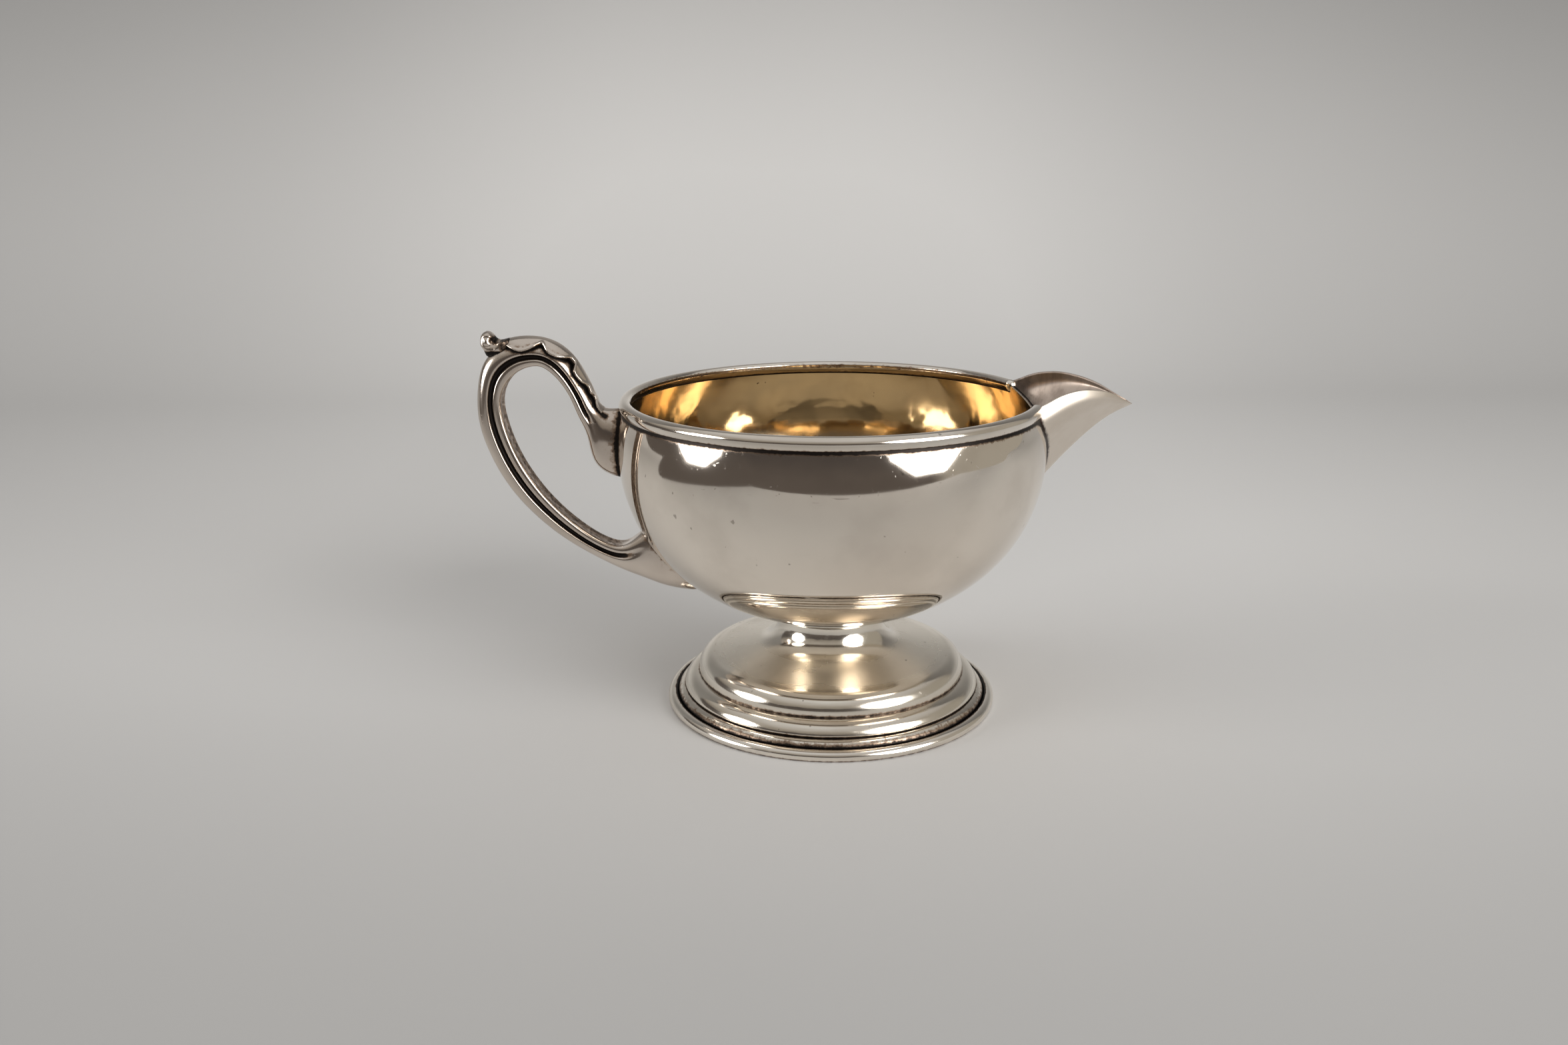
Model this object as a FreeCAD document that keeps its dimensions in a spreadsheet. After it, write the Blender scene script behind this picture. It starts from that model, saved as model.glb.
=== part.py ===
# Footed silver cream jug: spun bowl with a gilt inside, applied rim wire, sheet spout,
# hollow two-piece handle with a thumb leaf, spun pedestal foot on a wire ring.
# Frame: millimetres, +Z up, origin at the centre of the foot's resting face,
# +X towards the spout, -X towards the handle.
import FreeCAD, Part
import math
import os
import Sketcher

doc = FreeCAD.newDocument("cream_jug")
V = FreeCAD.Vector
SHEET = "Dims"

# ---------------------------------------------------------------- dimensions
DIMENSIONS = [
    # bowl outline: three tangent arcs from the bottom to the lip
    ("bowl_bottom_height", 20.832), ("bowl_low_arc", 58.904), ("bowl_low_turn", 30.7016),
    ("bowl_mid_radius", 30.0743), ("bowl_mid_height", 29.0880), ("bowl_mid_arc", 46.027),
    ("bowl_high_radius", 37.9660), ("bowl_high_height", 35.0029), ("bowl_high_arc", 37.808),
    ("bowl_high_turn", 43.0021), ("bowl_lip_radius", 48.2764), ("bowl_lip_height", 73.9),
    ("bowl_lip_turn", 107.3061), ("bowl_wall", 0.9), ("gilt_layer", 0.12),
    ("notch_half_width", 15.6), ("notch_bottom_height", 68.6), ("tool_height", 100.0),
    # rim wire, half-round with a thin inner lip
    ("rim_inner_radius", 46.5), ("rim_inner_height", 73.7), ("rim_lip_height", 74.5),
    ("rim_bevel_radius", 47.05), ("rim_bevel_height", 75.0), ("rim_outer_radius", 49.4),
    ("rim_outer_height", 73.8), ("rim_crest_arc", 1.62), ("rim_low_arc", 2.6),
    ("rim_low_radius", 48.6), ("rim_low_height", 72.0), ("rim_back_radius", 47.6),
    ("rim_gap_angle", 18.6),
    # pedestal foot
    ("neck_top_radius", 13.0), ("neck_top_height", 23.6), ("neck_top_arc", 8.0),
    ("neck_radius", 12.5), ("neck_height", 20.8), ("neck_arc", 6.75),
    ("dome_start_radius", 17.962), ("dome_start_height", 14.174),
    ("dome_end_radius", 28.4), ("dome_end_height", 12.145),
    ("roll_a_arc", 4.15), ("roll_a_radius", 32.25), ("roll_a_height", 8.0),
    ("step_height", 7.3), ("roll_b_arc", 3.7), ("roll_b_radius", 35.85),
    ("roll_b_height", 4.45), ("recess_radius", 35.5), ("recess_height", 3.9),
    ("roll_c_arc", 2.1), ("roll_c_radius", 37.5), ("roll_c_height", 2.4),
    ("edge_radius", 37.2), ("edge_top_height", 1.6), ("edge_height", 0.4), ("foot_wall", 0.9),
    # base ring, a wire with a flat underside
    ("ring_outer_radius", 40.0), ("ring_outer_height", 1.15), ("ring_crest_arc", 1.45),
    ("ring_low_arc", 1.3), ("ring_flat_radius", 39.3),
    # spout, handle and leaf
    ("spout_reach", 70.6), ("spout_sheet", 0.8),
    ("handle_reach", 82.35), ("vent_radius", 0.55),
    ("knob_reach", 78.65), ("knob_height", 88.3), ("knob_radius", 2.15), ("knob_shoulder", 0.55),
    ("blank_half_width", 9.0), ("half_length", 120.0),
]
SIZE = dict(DIMENSIONS)


def make_sheet():
    sheet = doc.addObject("Spreadsheet::Sheet", SHEET)
    for row, (alias, value) in enumerate(DIMENSIONS, start=1):
        sheet.set("A%d" % row, alias)
        sheet.set("B%d" % row, str(value))
        sheet.setAlias("B%d" % row, alias)
    doc.recompute()
    return sheet


# A quantity is a pair: its number now, and the sheet expression that keeps it up to date.
def dim(alias):
    return (SIZE[alias], "%s.%s" % (SHEET, alias))


def plus(a, b):
    return (a[0] + b[0], "(%s + %s)" % (a[1], b[1]))


def minus(a, b):
    return (a[0] - b[0], "(%s - %s)" % (a[1], b[1]))


def times(a, factor):
    return (a[0] * factor, "(%s * %.6f)" % (a[1], factor))


def along(length, angle, use_sine):
    """length times the sine or cosine of an angle given in degrees"""
    word = "sin" if use_sine else "cos"
    turn = math.radians(angle[0])
    ratio = math.sin(turn) if use_sine else math.cos(turn)
    return (length[0] * ratio, "(%s * %s(%s * 1 deg))" % (length[1], word, angle[1]))


ZERO = (0.0, None)


# ---------------------------------------------------------------- sketch helpers
def plane_of(body, role):
    for feature in body.Origin.OriginFeatures:
        if feature.Role == role:
            return feature
    raise ValueError(role)


def new_body(label):
    body = doc.addObject("PartDesign::Body", label)
    body.Label = label
    return body


def new_sketch(body, role, name):
    sketch = body.newObject("Sketcher::SketchObject", name)
    sketch.AttachmentSupport = [(plane_of(body, role), "")]
    sketch.MapMode = "FlatFace"
    return sketch


def arc_between(start, end, radius):
    """arc of a signed radius: positive bends to the left of the way from start to end"""
    chord = end - start
    half = chord.Length / 2.0
    rise = math.sqrt(max(radius * radius - half * half, 0.0))
    side = V(-chord.y, chord.x, 0).normalize()
    centre = (start + end) * 0.5 + side * (rise if radius > 0 else -rise)
    first, last = (start, end) if radius > 0 else (end, start)
    low = math.atan2(first.y - centre.y, first.x - centre.x)
    high = math.atan2(last.y - centre.y, last.x - centre.x)
    if high < low:
        high += 2.0 * math.pi
    circle = Part.Circle(centre, V(0, 0, 1), abs(radius))
    return Part.ArcOfCircle(circle, low, high), radius < 0


def bind(sketch, index, name, expression):
    sketch.renameConstraint(index, name)
    sketch.setExpression("Constraints.%s" % name, expression)


def draw_profile(sketch, corners, arcs):
    """closed outline; corners are (name, across, up), arcs[i] bends the side after corner i"""
    count = len(corners)
    points = [V(across[0], up[0], 0) for _, across, up in corners]
    starts, ends = [], []
    for i in range(count):
        a, b = points[i], points[(i + 1) % count]
        flipped = False
        if i in arcs:
            radius, sign = arcs[i]
            shape, flipped = arc_between(a, b, sign * radius[0])
        else:
            shape = Part.LineSegment(a, b)
        index = sketch.addGeometry(shape, False)
        starts.append((index, 2 if flipped else 1))
        ends.append((index, 1 if flipped else 2))
    for i in range(count):
        nxt = starts[(i + 1) % count]
        sketch.addConstraint(Sketcher.Constraint("Coincident", ends[i][0], ends[i][1], nxt[0], nxt[1]))
    for i, (name, across, up) in enumerate(corners):
        geo, pos = starts[i]
        if across is ZERO:
            sketch.addConstraint(Sketcher.Constraint("PointOnObject", geo, pos, -2))
        else:
            index = sketch.addConstraint(
                Sketcher.Constraint("DistanceX", -1, 1, geo, pos, across[0]))
            bind(sketch, index, name + "_across", across[1])
        if up is ZERO:
            sketch.addConstraint(Sketcher.Constraint("PointOnObject", geo, pos, -1))
        else:
            index = sketch.addConstraint(Sketcher.Constraint("DistanceY", -1, 1, geo, pos, up[0]))
            bind(sketch, index, name + "_up", up[1])
    for i in arcs:
        radius = arcs[i][0]
        index = sketch.addConstraint(Sketcher.Constraint("Radius", starts[i][0], radius[0]))
        bind(sketch, index, corners[i][0] + "_bend", radius[1])


def revolve(body, sketch, name, angle=360.0):
    turn = body.newObject("PartDesign::Revolution", name)
    turn.Profile = (sketch, [""])
    turn.ReferenceAxis = (sketch, ["V_Axis"])
    turn.Angle = angle
    doc.recompute()
    return turn


def revolved_body(label, corners, arcs):
    body = new_body(label)
    sketch = new_sketch(body, "XZ_Plane", label + "_outline")
    draw_profile(sketch, corners, arcs)
    turn = revolve(body, sketch, label + "_turn")
    return body, turn


# ---------------------------------------------------------------- bowl and lining
def bowl_chain(depth, prefix):
    """corners of the bowl line set in by depth, from the axis at the bottom up to the lip"""
    low_turn, high_turn, lip_turn = dim("bowl_low_turn"), dim("bowl_high_turn"), dim("bowl_lip_turn")

    def inset(radius, height, turn):
        return (minus(dim(radius), along(depth, turn, True)),
                plus(dim(height), along(depth, turn, False)))

    mid = inset("bowl_mid_radius", "bowl_mid_height", low_turn)
    high = inset("bowl_high_radius", "bowl_high_height", high_turn)
    lip = inset("bowl_lip_radius", "bowl_lip_height", lip_turn)
    corners = [
        (prefix + "_bottom", ZERO, plus(dim("bowl_bottom_height"), depth)),
        (prefix + "_mid", mid[0], mid[1]),
        (prefix + "_high", high[0], high[1]),
        (prefix + "_lip", lip[0], lip[1]),
    ]
    bends = [minus(dim("bowl_low_arc"), depth), minus(dim("bowl_mid_arc"), depth),
             minus(dim("bowl_high_arc"), depth)]
    return corners, bends


def shell_profile(outer_depth, inner_depth):
    outer, outer_bends = bowl_chain(outer_depth, "outer")
    inner, inner_bends = bowl_chain(inner_depth, "inner")
    corners = outer + inner[::-1]
    arcs = {0: (outer_bends[0], 1), 1: (outer_bends[1], 1), 2: (outer_bends[2], 1),
            4: (inner_bends[2], -1), 5: (inner_bends[1], -1), 6: (inner_bends[0], -1)}
    return corners, arcs


def cut_notch(body, name):
    """vee cut through the wall on the spout side"""
    sketch = new_sketch(body, "YZ_Plane", name + "_vee")
    half, low, top = dim("notch_half_width"), dim("notch_bottom_height"), dim("tool_height")
    lip = dim("bowl_lip_height")
    corners = [("vee_near", times(half, -1.0), lip), ("vee_low", ZERO, low),
               ("vee_far", half, lip), ("vee_far_top", half, top),
               ("vee_near_top", times(half, -1.0), top)]
    draw_profile(sketch, corners, {})
    before = body.Shape.Volume
    pocket = body.newObject("PartDesign::Pocket", name + "_cut")
    pocket.Profile = (sketch, [""])
    pocket.Type = "Length"
    pocket.Length = 60.0
    pocket.Reversed = True
    doc.recompute()
    print(name, "volume before notch %.1f after %.1f" % (before, body.Shape.Volume))
    return pocket


def make_bowl():
    corners, arcs = shell_profile(times(dim("bowl_wall"), 0.0), dim("bowl_wall"))
    body, _ = revolved_body("bowl", corners, arcs)
    cut_notch(body, "bowl_notch")
    return body


def make_lining():
    inner = plus(dim("bowl_wall"), dim("gilt_layer"))
    corners, arcs = shell_profile(dim("bowl_wall"), inner)
    body, _ = revolved_body("gilt_lining", corners, arcs)
    cut_notch(body, "lining_notch")
    return body


def make_bowl_form():
    """solid inside of the bowl's outer skin, run up past the lip; trims what meets the bowl"""
    outer, bends = bowl_chain(times(dim("bowl_wall"), 0.0), "form")
    corners = outer + [("form_top", dim("bowl_lip_radius"), dim("tool_height")),
                       ("form_axis", ZERO, dim("tool_height"))]
    arcs = {0: (bends[0], 1), 1: (bends[1], 1), 2: (bends[2], 1)}
    body, _ = revolved_body("bowl_form", corners, arcs)
    return body


# ---------------------------------------------------------------- rim wire
def make_rim_wire(bowl, lining):
    body = new_body("rim_wire_stock")
    sketch = new_sketch(body, "XZ_Plane", "rim_section")
    corners = [
        ("inner_low", dim("rim_inner_radius"), dim("rim_inner_height")),
        ("back", dim("rim_back_radius"), dim("rim_low_height")),
        ("low", dim("rim_low_radius"), dim("rim_low_height")),
        ("outer", dim("rim_outer_radius"), dim("rim_outer_height")),
        ("bevel", dim("rim_bevel_radius"), dim("rim_bevel_height")),
        ("lip", dim("rim_inner_radius"), dim("rim_lip_height")),
    ]
    arcs = {2: (dim("rim_low_arc"), 1), 3: (dim("rim_crest_arc"), 1)}
    draw_profile(sketch, corners, arcs)
    turn = revolve(body, sketch, "rim_turn")
    turn.setExpression("Angle", "360 - 2 * %s.rim_gap_angle" % SHEET)
    body.Placement = FreeCAD.Placement(V(0, 0, 0), FreeCAD.Rotation(V(0, 0, 1), 18.6))
    doc.recompute()
    first = cut("rim_on_bowl", body, bowl)
    return cut("rim_wire", first, lining)


# ---------------------------------------------------------------- foot and base ring
def make_foot(bowl_form):
    wall = dim("foot_wall")

    def inside(name, radius, height, across, down):
        return (name, minus(dim(radius), times(wall, across)), minus(dim(height), times(wall, down)))

    corners = [
        ("neck_top", dim("neck_top_radius"), dim("neck_top_height")),
        ("neck", dim("neck_radius"), dim("neck_height")),
        ("dome_start", dim("dome_start_radius"), dim("dome_start_height")),
        ("dome_end", dim("dome_end_radius"), dim("dome_end_height")),
        ("roll_a", dim("roll_a_radius"), dim("roll_a_height")),
        ("step", dim("roll_a_radius"), dim("step_height")),
        ("roll_b", dim("roll_b_radius"), dim("roll_b_height")),
        ("recess", dim("recess_radius"), dim("recess_height")),
        ("roll_c", dim("roll_c_radius"), dim("roll_c_height")),
        ("edge_top", dim("edge_radius"), dim("edge_top_height")),
        ("edge", dim("edge_radius"), dim("edge_height")),
        inside("edge_in", "edge_radius", "edge_height", 1.0, 0.0),
        inside("edge_in_top", "edge_radius", "edge_top_height", 1.0, 0.3),
        inside("recess_in", "recess_radius", "recess_height", 1.1, 0.9),
        inside("step_in", "roll_a_radius", "step_height", 1.1, 1.1),
        inside("roll_a_in", "roll_a_radius", "roll_a_height", 1.1, 0.5),
        inside("dome_end_in", "dome_end_radius", "dome_end_height", 0.4, 1.1),
        inside("dome_start_in", "dome_start_radius", "dome_start_height", 0.2, 1.0),
        inside("neck_in", "neck_radius", "neck_height", 1.0, 0.0),
        inside("neck_top_in", "neck_top_radius", "neck_top_height", 1.0, 0.0),
    ]
    arcs = {0: (dim("neck_top_arc"), 1), 1: (dim("neck_arc"), 1),
            3: (dim("roll_a_arc"), -1), 5: (dim("roll_b_arc"), -1), 7: (dim("roll_c_arc"), -1),
            17: (plus(dim("neck_arc"), wall), -1)}
    body, _ = revolved_body("foot_stock", corners, arcs)
    return cut("foot", body, bowl_form)


def make_foot_ring():
    corners = [
        ("flat_in", dim("edge_radius"), ZERO),
        ("flat_out", dim("ring_flat_radius"), ZERO),
        ("outer", dim("ring_outer_radius"), dim("ring_outer_height")),
        ("top_in", dim("edge_radius"), dim("edge_top_height")),
    ]
    arcs = {1: (dim("ring_low_arc"), 1), 2: (dim("ring_crest_arc"), 1)}
    body, _ = revolved_body("foot_ring", corners, arcs)
    return body


# ---------------------------------------------------------------- booleans
def cut(label, base, tool):
    feature = doc.addObject("Part::Cut", label)
    feature.Label = label
    feature.Base = base
    feature.Tool = tool
    doc.recompute()
    return feature


def common(label, base, tool):
    feature = doc.addObject("Part::Common", label)
    feature.Label = label
    feature.Base = base
    feature.Tool = tool
    doc.recompute()
    return feature


def join(label, shapes):
    feature = doc.addObject("Part::MultiFuse", label)
    feature.Label = label
    feature.Shapes = shapes
    doc.recompute()
    return feature


def loft(label, sections):
    feature = doc.addObject("Part::Loft", label)
    feature.Label = label
    feature.Sections = sections
    feature.Solid = True
    feature.Ruled = False
    feature.Closed = False
    doc.recompute()
    return feature


# ---------------------------------------------------------------- spout
# station along the spout: (reach, lip half width, lip height, keel height)
SPOUT_STATIONS = [
    (41.0, 18.0, 73.6, 44.0), (44.0, 17.5, 74.2, 47.6), (47.0, 16.7, 75.3, 51.3),
    (50.0, 15.7, 76.6, 54.7), (53.0, 14.4, 77.35, 58.1), (56.0, 12.95, 77.6, 61.3),
    (59.0, 11.25, 77.3, 64.3), (62.0, 9.2, 76.6, 67.0), (65.0, 6.7, 75.4, 69.2),
    (67.5, 4.3, 73.95, 70.6), (69.4, 2.2, 72.9, 71.45), (70.6, 0.55, 72.25, 71.95),
]
# one side of the section, keel to lip: (share of height, share of half width)
SPOUT_SIDE = [(0.0, 0.0), (0.035, 0.13), (0.12, 0.26), (0.26, 0.42), (0.42, 0.60),
              (0.56, 0.77), (0.69, 0.93), (0.82, 1.02), (0.92, 1.02), (1.0, 1.0)]


def spout_points(half_width, lip, keel):
    side = [V(half_width * wide, keel + (lip - keel) * high, 0) for high, wide in SPOUT_SIDE]
    mirror = [V(-p.x, p.y, 0) for p in side[::-1]]
    return mirror[:-1] + side


def spout_section(name, reach, points, top):
    """open-topped curve closed by straight sides run up to top"""
    sketch = doc.addObject("Sketcher::SketchObject", name)
    curve = Part.BSplineCurve()
    steps = [float(i) for i in range(len(points))]
    curve.interpolate(Points=points, PeriodicFlag=False, Parameters=steps)
    sketch.addGeometry(curve, False)
    first, last = points[0], points[-1]
    corners = [last]
    if top is not None:
        corners += [V(last.x, top, 0), V(first.x, top, 0)]
    corners.append(first)
    for a, b in zip(corners[:-1], corners[1:]):
        sketch.addGeometry(Part.LineSegment(a, b), False)
    count = len(corners)
    for i in range(count):
        sketch.addConstraint(Sketcher.Constraint("Coincident", i, 2, (i + 1) % count, 1))
    sketch.Placement = FreeCAD.Placement(V(reach, 0, 0), FreeCAD.Rotation(V(1, 1, 1), 120))
    share = reach / SIZE["spout_reach"]
    sketch.setExpression("Placement.Base.x", "%s.spout_reach * %.6f" % (SHEET, share))
    return sketch


def make_spout(bowl_form, rim_wire):
    outer, inner = [], []
    for i, (reach, half, lip, keel) in enumerate(SPOUT_STATIONS):
        points = spout_points(half, lip, keel)
        outer.append(spout_section("spout_out_%02d" % i, reach, points, None))
    for i, (reach, half, lip, keel) in enumerate(SPOUT_STATIONS[:-2]):
        thick = SIZE["spout_sheet"] * (1.0 if reach < 66 else 0.75)
        points = spout_points(half - thick, lip, keel + thick * 1.35)
        above = V(points[-1].x * 0.985, lip + 0.9, 0)
        points = [V(-above.x, above.y, 0)] + points + [above]
        inner.append(spout_section("spout_in_%02d" % i, reach, points, 84.0))
    outer_loft = loft("spout_outside", outer)
    inner_loft = loft("spout_inside", inner)
    sheet_metal = cut("spout_sheet_metal", outer_loft, inner_loft)
    trimmed = cut("spout_off_bowl", sheet_metal, bowl_form)
    return cut("spout", trimmed, rim_wire)


# ---------------------------------------------------------------- handle
# station: back point (x, z), finger-side point (x, z), half width, groove strength
HANDLE_STATIONS = [
    (-44.5, 72.1, -44.5, 55.7, 4.7, 0.0), (-49.6, 72.1, -50.2, 55.9, 4.7, 0.0),
    (-51.1, 72.1, -54.2, 59.2, 4.4, 0.0), (-52.8, 72.3, -57.1, 65.6, 3.9, 0.15),
    (-54.6, 73.5, -58.8, 70.2, 3.5, 0.7), (-56.0, 76.0, -60.1, 73.6, 3.35, 1.0),
    (-57.7, 79.2, -61.6, 76.8, 3.3, 1.0), (-59.9, 82.8, -63.7, 79.7, 3.3, 1.0),
    (-62.8, 85.8, -66.0, 81.7, 3.3, 1.0), (-67.0, 87.7, -68.3, 82.3, 3.3, 1.0),
    (-72.6, 87.9, -71.3, 81.4, 3.3, 1.0), (-77.2, 86.3, -73.6, 79.6, 3.3, 1.0),
    (-80.4, 82.8, -75.1, 77.6, 3.3, 1.0), (-81.9, 77.8, -76.0, 75.2, 3.3, 1.0),
    (-82.35, 72.0, -76.1, 72.2, 3.3, 1.0), (-81.5, 66.0, -75.1, 67.4, 3.3, 1.0),
    (-79.1, 59.4, -73.2, 62.0, 3.3, 1.0), (-76.1, 53.9, -70.6, 57.0, 3.3, 1.0),
    (-72.3, 48.9, -67.3, 52.2, 3.3, 1.0), (-67.2, 43.8, -63.0, 47.4, 3.25, 1.0),
    (-61.8, 39.65, -58.4, 43.4, 3.25, 1.0), (-56.7, 36.5, -54.2, 40.7, 3.3, 1.0),
    (-52.0, 33.9, -50.4, 39.6, 3.4, 0.8), (-48.1, 32.0, -47.2, 40.9, 3.7, 0.3),
    (-44.3, 30.4, -43.6, 43.6, 4.1, 0.0), (-40.3, 28.8, -39.4, 45.0, 4.3, 0.0),
    (-35.0, 27.6, -34.4, 44.5, 4.0, 0.0), (-29.0, 27.1, -28.6, 41.0, 3.0, 0.0),
]
# one side of the section from the back crest to the middle of the finger face:
# (share of half width, share of half depth), smooth and with the groove
PLAIN_SIDE = [(0.0, 1.0), (0.45, 0.90), (0.80, 0.62), (0.97, 0.26), (1.0, 0.0), (0.99, -0.18),
              (0.97, -0.32), (0.94, -0.46), (0.88, -0.62), (0.76, -0.80), (0.52, -0.93), (0.0, -1.0)]
GROOVED_SIDE = [(0.0, 1.0), (0.46, 0.92), (0.80, 0.66), (0.95, 0.30), (0.93, 0.06), (0.74, -0.08),
                (0.73, -0.34), (0.93, -0.44), (1.0, -0.62), (0.96, -0.88), (0.66, -0.99), (0.0, -0.96)]


def handle_frame(station):
    back = V(station[0], 0, station[1])
    finger = V(station[2], 0, station[3])
    outward = (back - finger).normalize()
    middle = (back + finger) * 0.5
    return middle, outward, (back - finger).Length / 2.0


def side_points(half_width, half_depth, groove, sign):
    """one side of the section, run a little way past the middle at both ends"""
    side = []
    for plain, cut_in in zip(PLAIN_SIDE, GROOVED_SIDE):
        wide = plain[0] + (cut_in[0] - plain[0]) * groove
        deep = plain[1] + (cut_in[1] - plain[1]) * groove
        side.append(V(sign * wide * half_width, deep * half_depth, 0))
    before = V(-side[1].x, side[1].y, 0)
    after = V(-side[-2].x, side[-2].y, 0)
    return [before] + side + [after]


def saddle_points(half_width, half_depth):
    """the back of the section from flank to flank"""
    side = [V(wide * half_width, deep * half_depth, 0) for wide, deep in PLAIN_SIDE[:7]]
    mirror = [V(-p.x, p.y, 0) for p in side[1:]]
    return mirror[::-1] + side


def handle_section(name, station, points, shift):
    middle, outward, _ = handle_frame(station)
    middle = middle + outward * shift
    across = V(0, 1, 0)
    ahead = across.cross(outward)
    rotation = FreeCAD.Rotation(across, outward, ahead, "XYZ")
    sketch = doc.addObject("Sketcher::SketchObject", name)
    curve = Part.BSplineCurve()
    steps = [float(i) for i in range(len(points))]
    curve.interpolate(Points=points, PeriodicFlag=False, Parameters=steps)
    sketch.addGeometry(curve, False)
    sketch.addGeometry(Part.LineSegment(points[-1], points[0]), False)
    sketch.addConstraint(Sketcher.Constraint("Coincident", 0, 2, 1, 1))
    sketch.addConstraint(Sketcher.Constraint("Coincident", 1, 2, 0, 1))
    sketch.Placement = FreeCAD.Placement(middle, rotation)
    share = middle.x / SIZE["handle_reach"]
    sketch.setExpression("Placement.Base.x", "%s.handle_reach * %.6f" % (SHEET, share))
    return sketch


def side_loft(label, first, last, grow_width, grow_depth, sign, use_groove):
    sections = []
    for i in range(first, last + 1):
        station = HANDLE_STATIONS[i]
        half_depth = handle_frame(station)[2] + grow_depth
        groove = station[5] if use_groove else 0.0
        points = side_points(station[4] + grow_width, half_depth, groove, sign)
        sections.append(handle_section("%s_%02d" % (label, i), station, points, 0.0))
    return loft(label, sections)


def make_handle_half(label, sign, vent, bowl_form, rim_wire):
    last = len(HANDLE_STATIONS) - 1
    stock = side_loft(label + "_stock", 0, last, 0.0, 0.0, sign, True)
    hollow = side_loft(label + "_hollow", 2, last - 2, -1.55, -1.05, sign, False)
    block = doc.addObject("Part::Box", label + "_block")
    block.setExpression("Length", "%s.half_length" % SHEET)
    block.setExpression("Height", "%s.tool_height" % SHEET)
    block.Width = 20.0
    low = 0.0 if sign > 0 else -20.0
    block.Placement = FreeCAD.Placement(V(-130, low, 0), FreeCAD.Rotation())
    solid_half = common(label + "_solid", stock, block)
    shell = cut(label + "_shell", solid_half, hollow)
    if vent is not None:
        shell = cut(label + "_vented", shell, vent)
    off_bowl = cut(label + "_off_bowl", shell, bowl_form)
    return solid_half, cut(label, off_bowl, rim_wire)


def make_handle(bowl_form, rim_wire):
    vent = doc.addObject("Part::Cylinder", "vent_drill")
    vent.setExpression("Radius", "%s.vent_radius" % SHEET)
    vent.Height = 6.0
    vent.Placement = FreeCAD.Placement(V(-37.2, -0.5, 31.4), FreeCAD.Rotation(V(1, 0, 0), 90))
    left_solid, left = make_handle_half("handle_left_half", 1, None, bowl_form, rim_wire)
    right_solid, right = make_handle_half("handle_right_half", -1, vent, bowl_form, rim_wire)
    return join("handle_form", [left_solid, right_solid]), [left, right]


# ---------------------------------------------------------------- thumb leaf
LEAF_EDGE = [
    (-52.6, 71.0), (-53.9, 72.3), (-55.5, 74.6), (-56.9, 77.4), (-58.9, 80.1), (-59.9, 82.4),
    (-60.7, 83.6), (-62.2, 84.4), (-64.6, 85.5), (-66.6, 87.1), (-68.3, 87.4), (-70.0, 86.9),
    (-71.7, 86.3), (-73.4, 86.6), (-75.2, 87.4), (-77.2, 87.0), (-79.6, 85.4),
]


# leaf over the handle stations: (station, how far it stands off the back, half width)
LEAF_STATIONS = [(3, 0.35, 4.3), (4, 0.45, 4.0), (5, 0.55, 3.85), (6, 0.7, 3.8), (7, 0.9, 3.8),
                 (8, 1.05, 3.8), (9, 1.05, 3.75), (10, 1.1, 3.2), (11, 2.1, 1.9)]


def leaf_blank():
    sections = []
    for i, lift, half_width in LEAF_STATIONS:
        station = HANDLE_STATIONS[i]
        half_depth = handle_frame(station)[2] + lift / 2.0
        points = saddle_points(half_width, half_depth)
        sections.append(handle_section("leaf_blank_%02d" % i, station, points, lift / 2.0))
    return loft("leaf_blank", sections)


def make_knob():
    """round-ended scroll lying across the leaf's tip"""
    shoulder, radius = dim("knob_shoulder"), dim("knob_radius")
    end = plus(shoulder, radius)
    corners = [
        ("knob_right", ZERO, times(end, -1.0)),
        ("knob_right_shoulder", radius, times(shoulder, -1.0)),
        ("knob_left_shoulder", radius, shoulder),
        ("knob_left", ZERO, end),
    ]
    arcs = {0: (radius, 1), 2: (radius, 1)}
    body, _ = revolved_body("leaf_knob", corners, arcs)
    body.Placement = FreeCAD.Placement(V(-78.65, 0, 88.3), FreeCAD.Rotation(V(1, 0, 0), 90))
    body.setExpression("Placement.Base.x", "-%s.knob_reach" % SHEET)
    body.setExpression("Placement.Base.z", "%s.knob_height" % SHEET)
    doc.recompute()
    return body


def make_leaf(handle_form):
    blank = leaf_blank()
    side = new_body("leaf_side")
    sketch = new_sketch(side, "XZ_Plane", "leaf_outline")
    edge = Part.BSplineCurve()
    edge.interpolate([V(x, z, 0) for x, z in LEAF_EDGE])
    sketch.addGeometry(edge, False)
    first, last = LEAF_EDGE[0], LEAF_EDGE[-1]
    rest = [V(last[0], last[1], 0), V(-79.6, 95, 0), V(-45.0, 95, 0), V(-45.0, first[1], 0),
            V(first[0], first[1], 0)]
    for a, b in zip(rest[:-1], rest[1:]):
        sketch.addGeometry(Part.LineSegment(a, b), False)
    chain = [(0, 2, 1, 1), (1, 2, 2, 1), (2, 2, 3, 1), (3, 2, 4, 1), (4, 2, 0, 1)]
    for a, b, c, d in chain:
        sketch.addConstraint(Sketcher.Constraint("Coincident", a, b, c, d))
    pad = side.newObject("PartDesign::Pad", "leaf_side_pad")
    pad.Profile = (sketch, [""])
    pad.setExpression("Length", "2 * %s.blank_half_width" % SHEET)
    pad.Midplane = True
    doc.recompute()
    shaped = common("leaf_shaped", blank, side)
    knob = make_knob()
    seated = cut("leaf_seated", shaped, handle_form)
    return join("thumb_leaf", [seated, knob])


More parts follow.
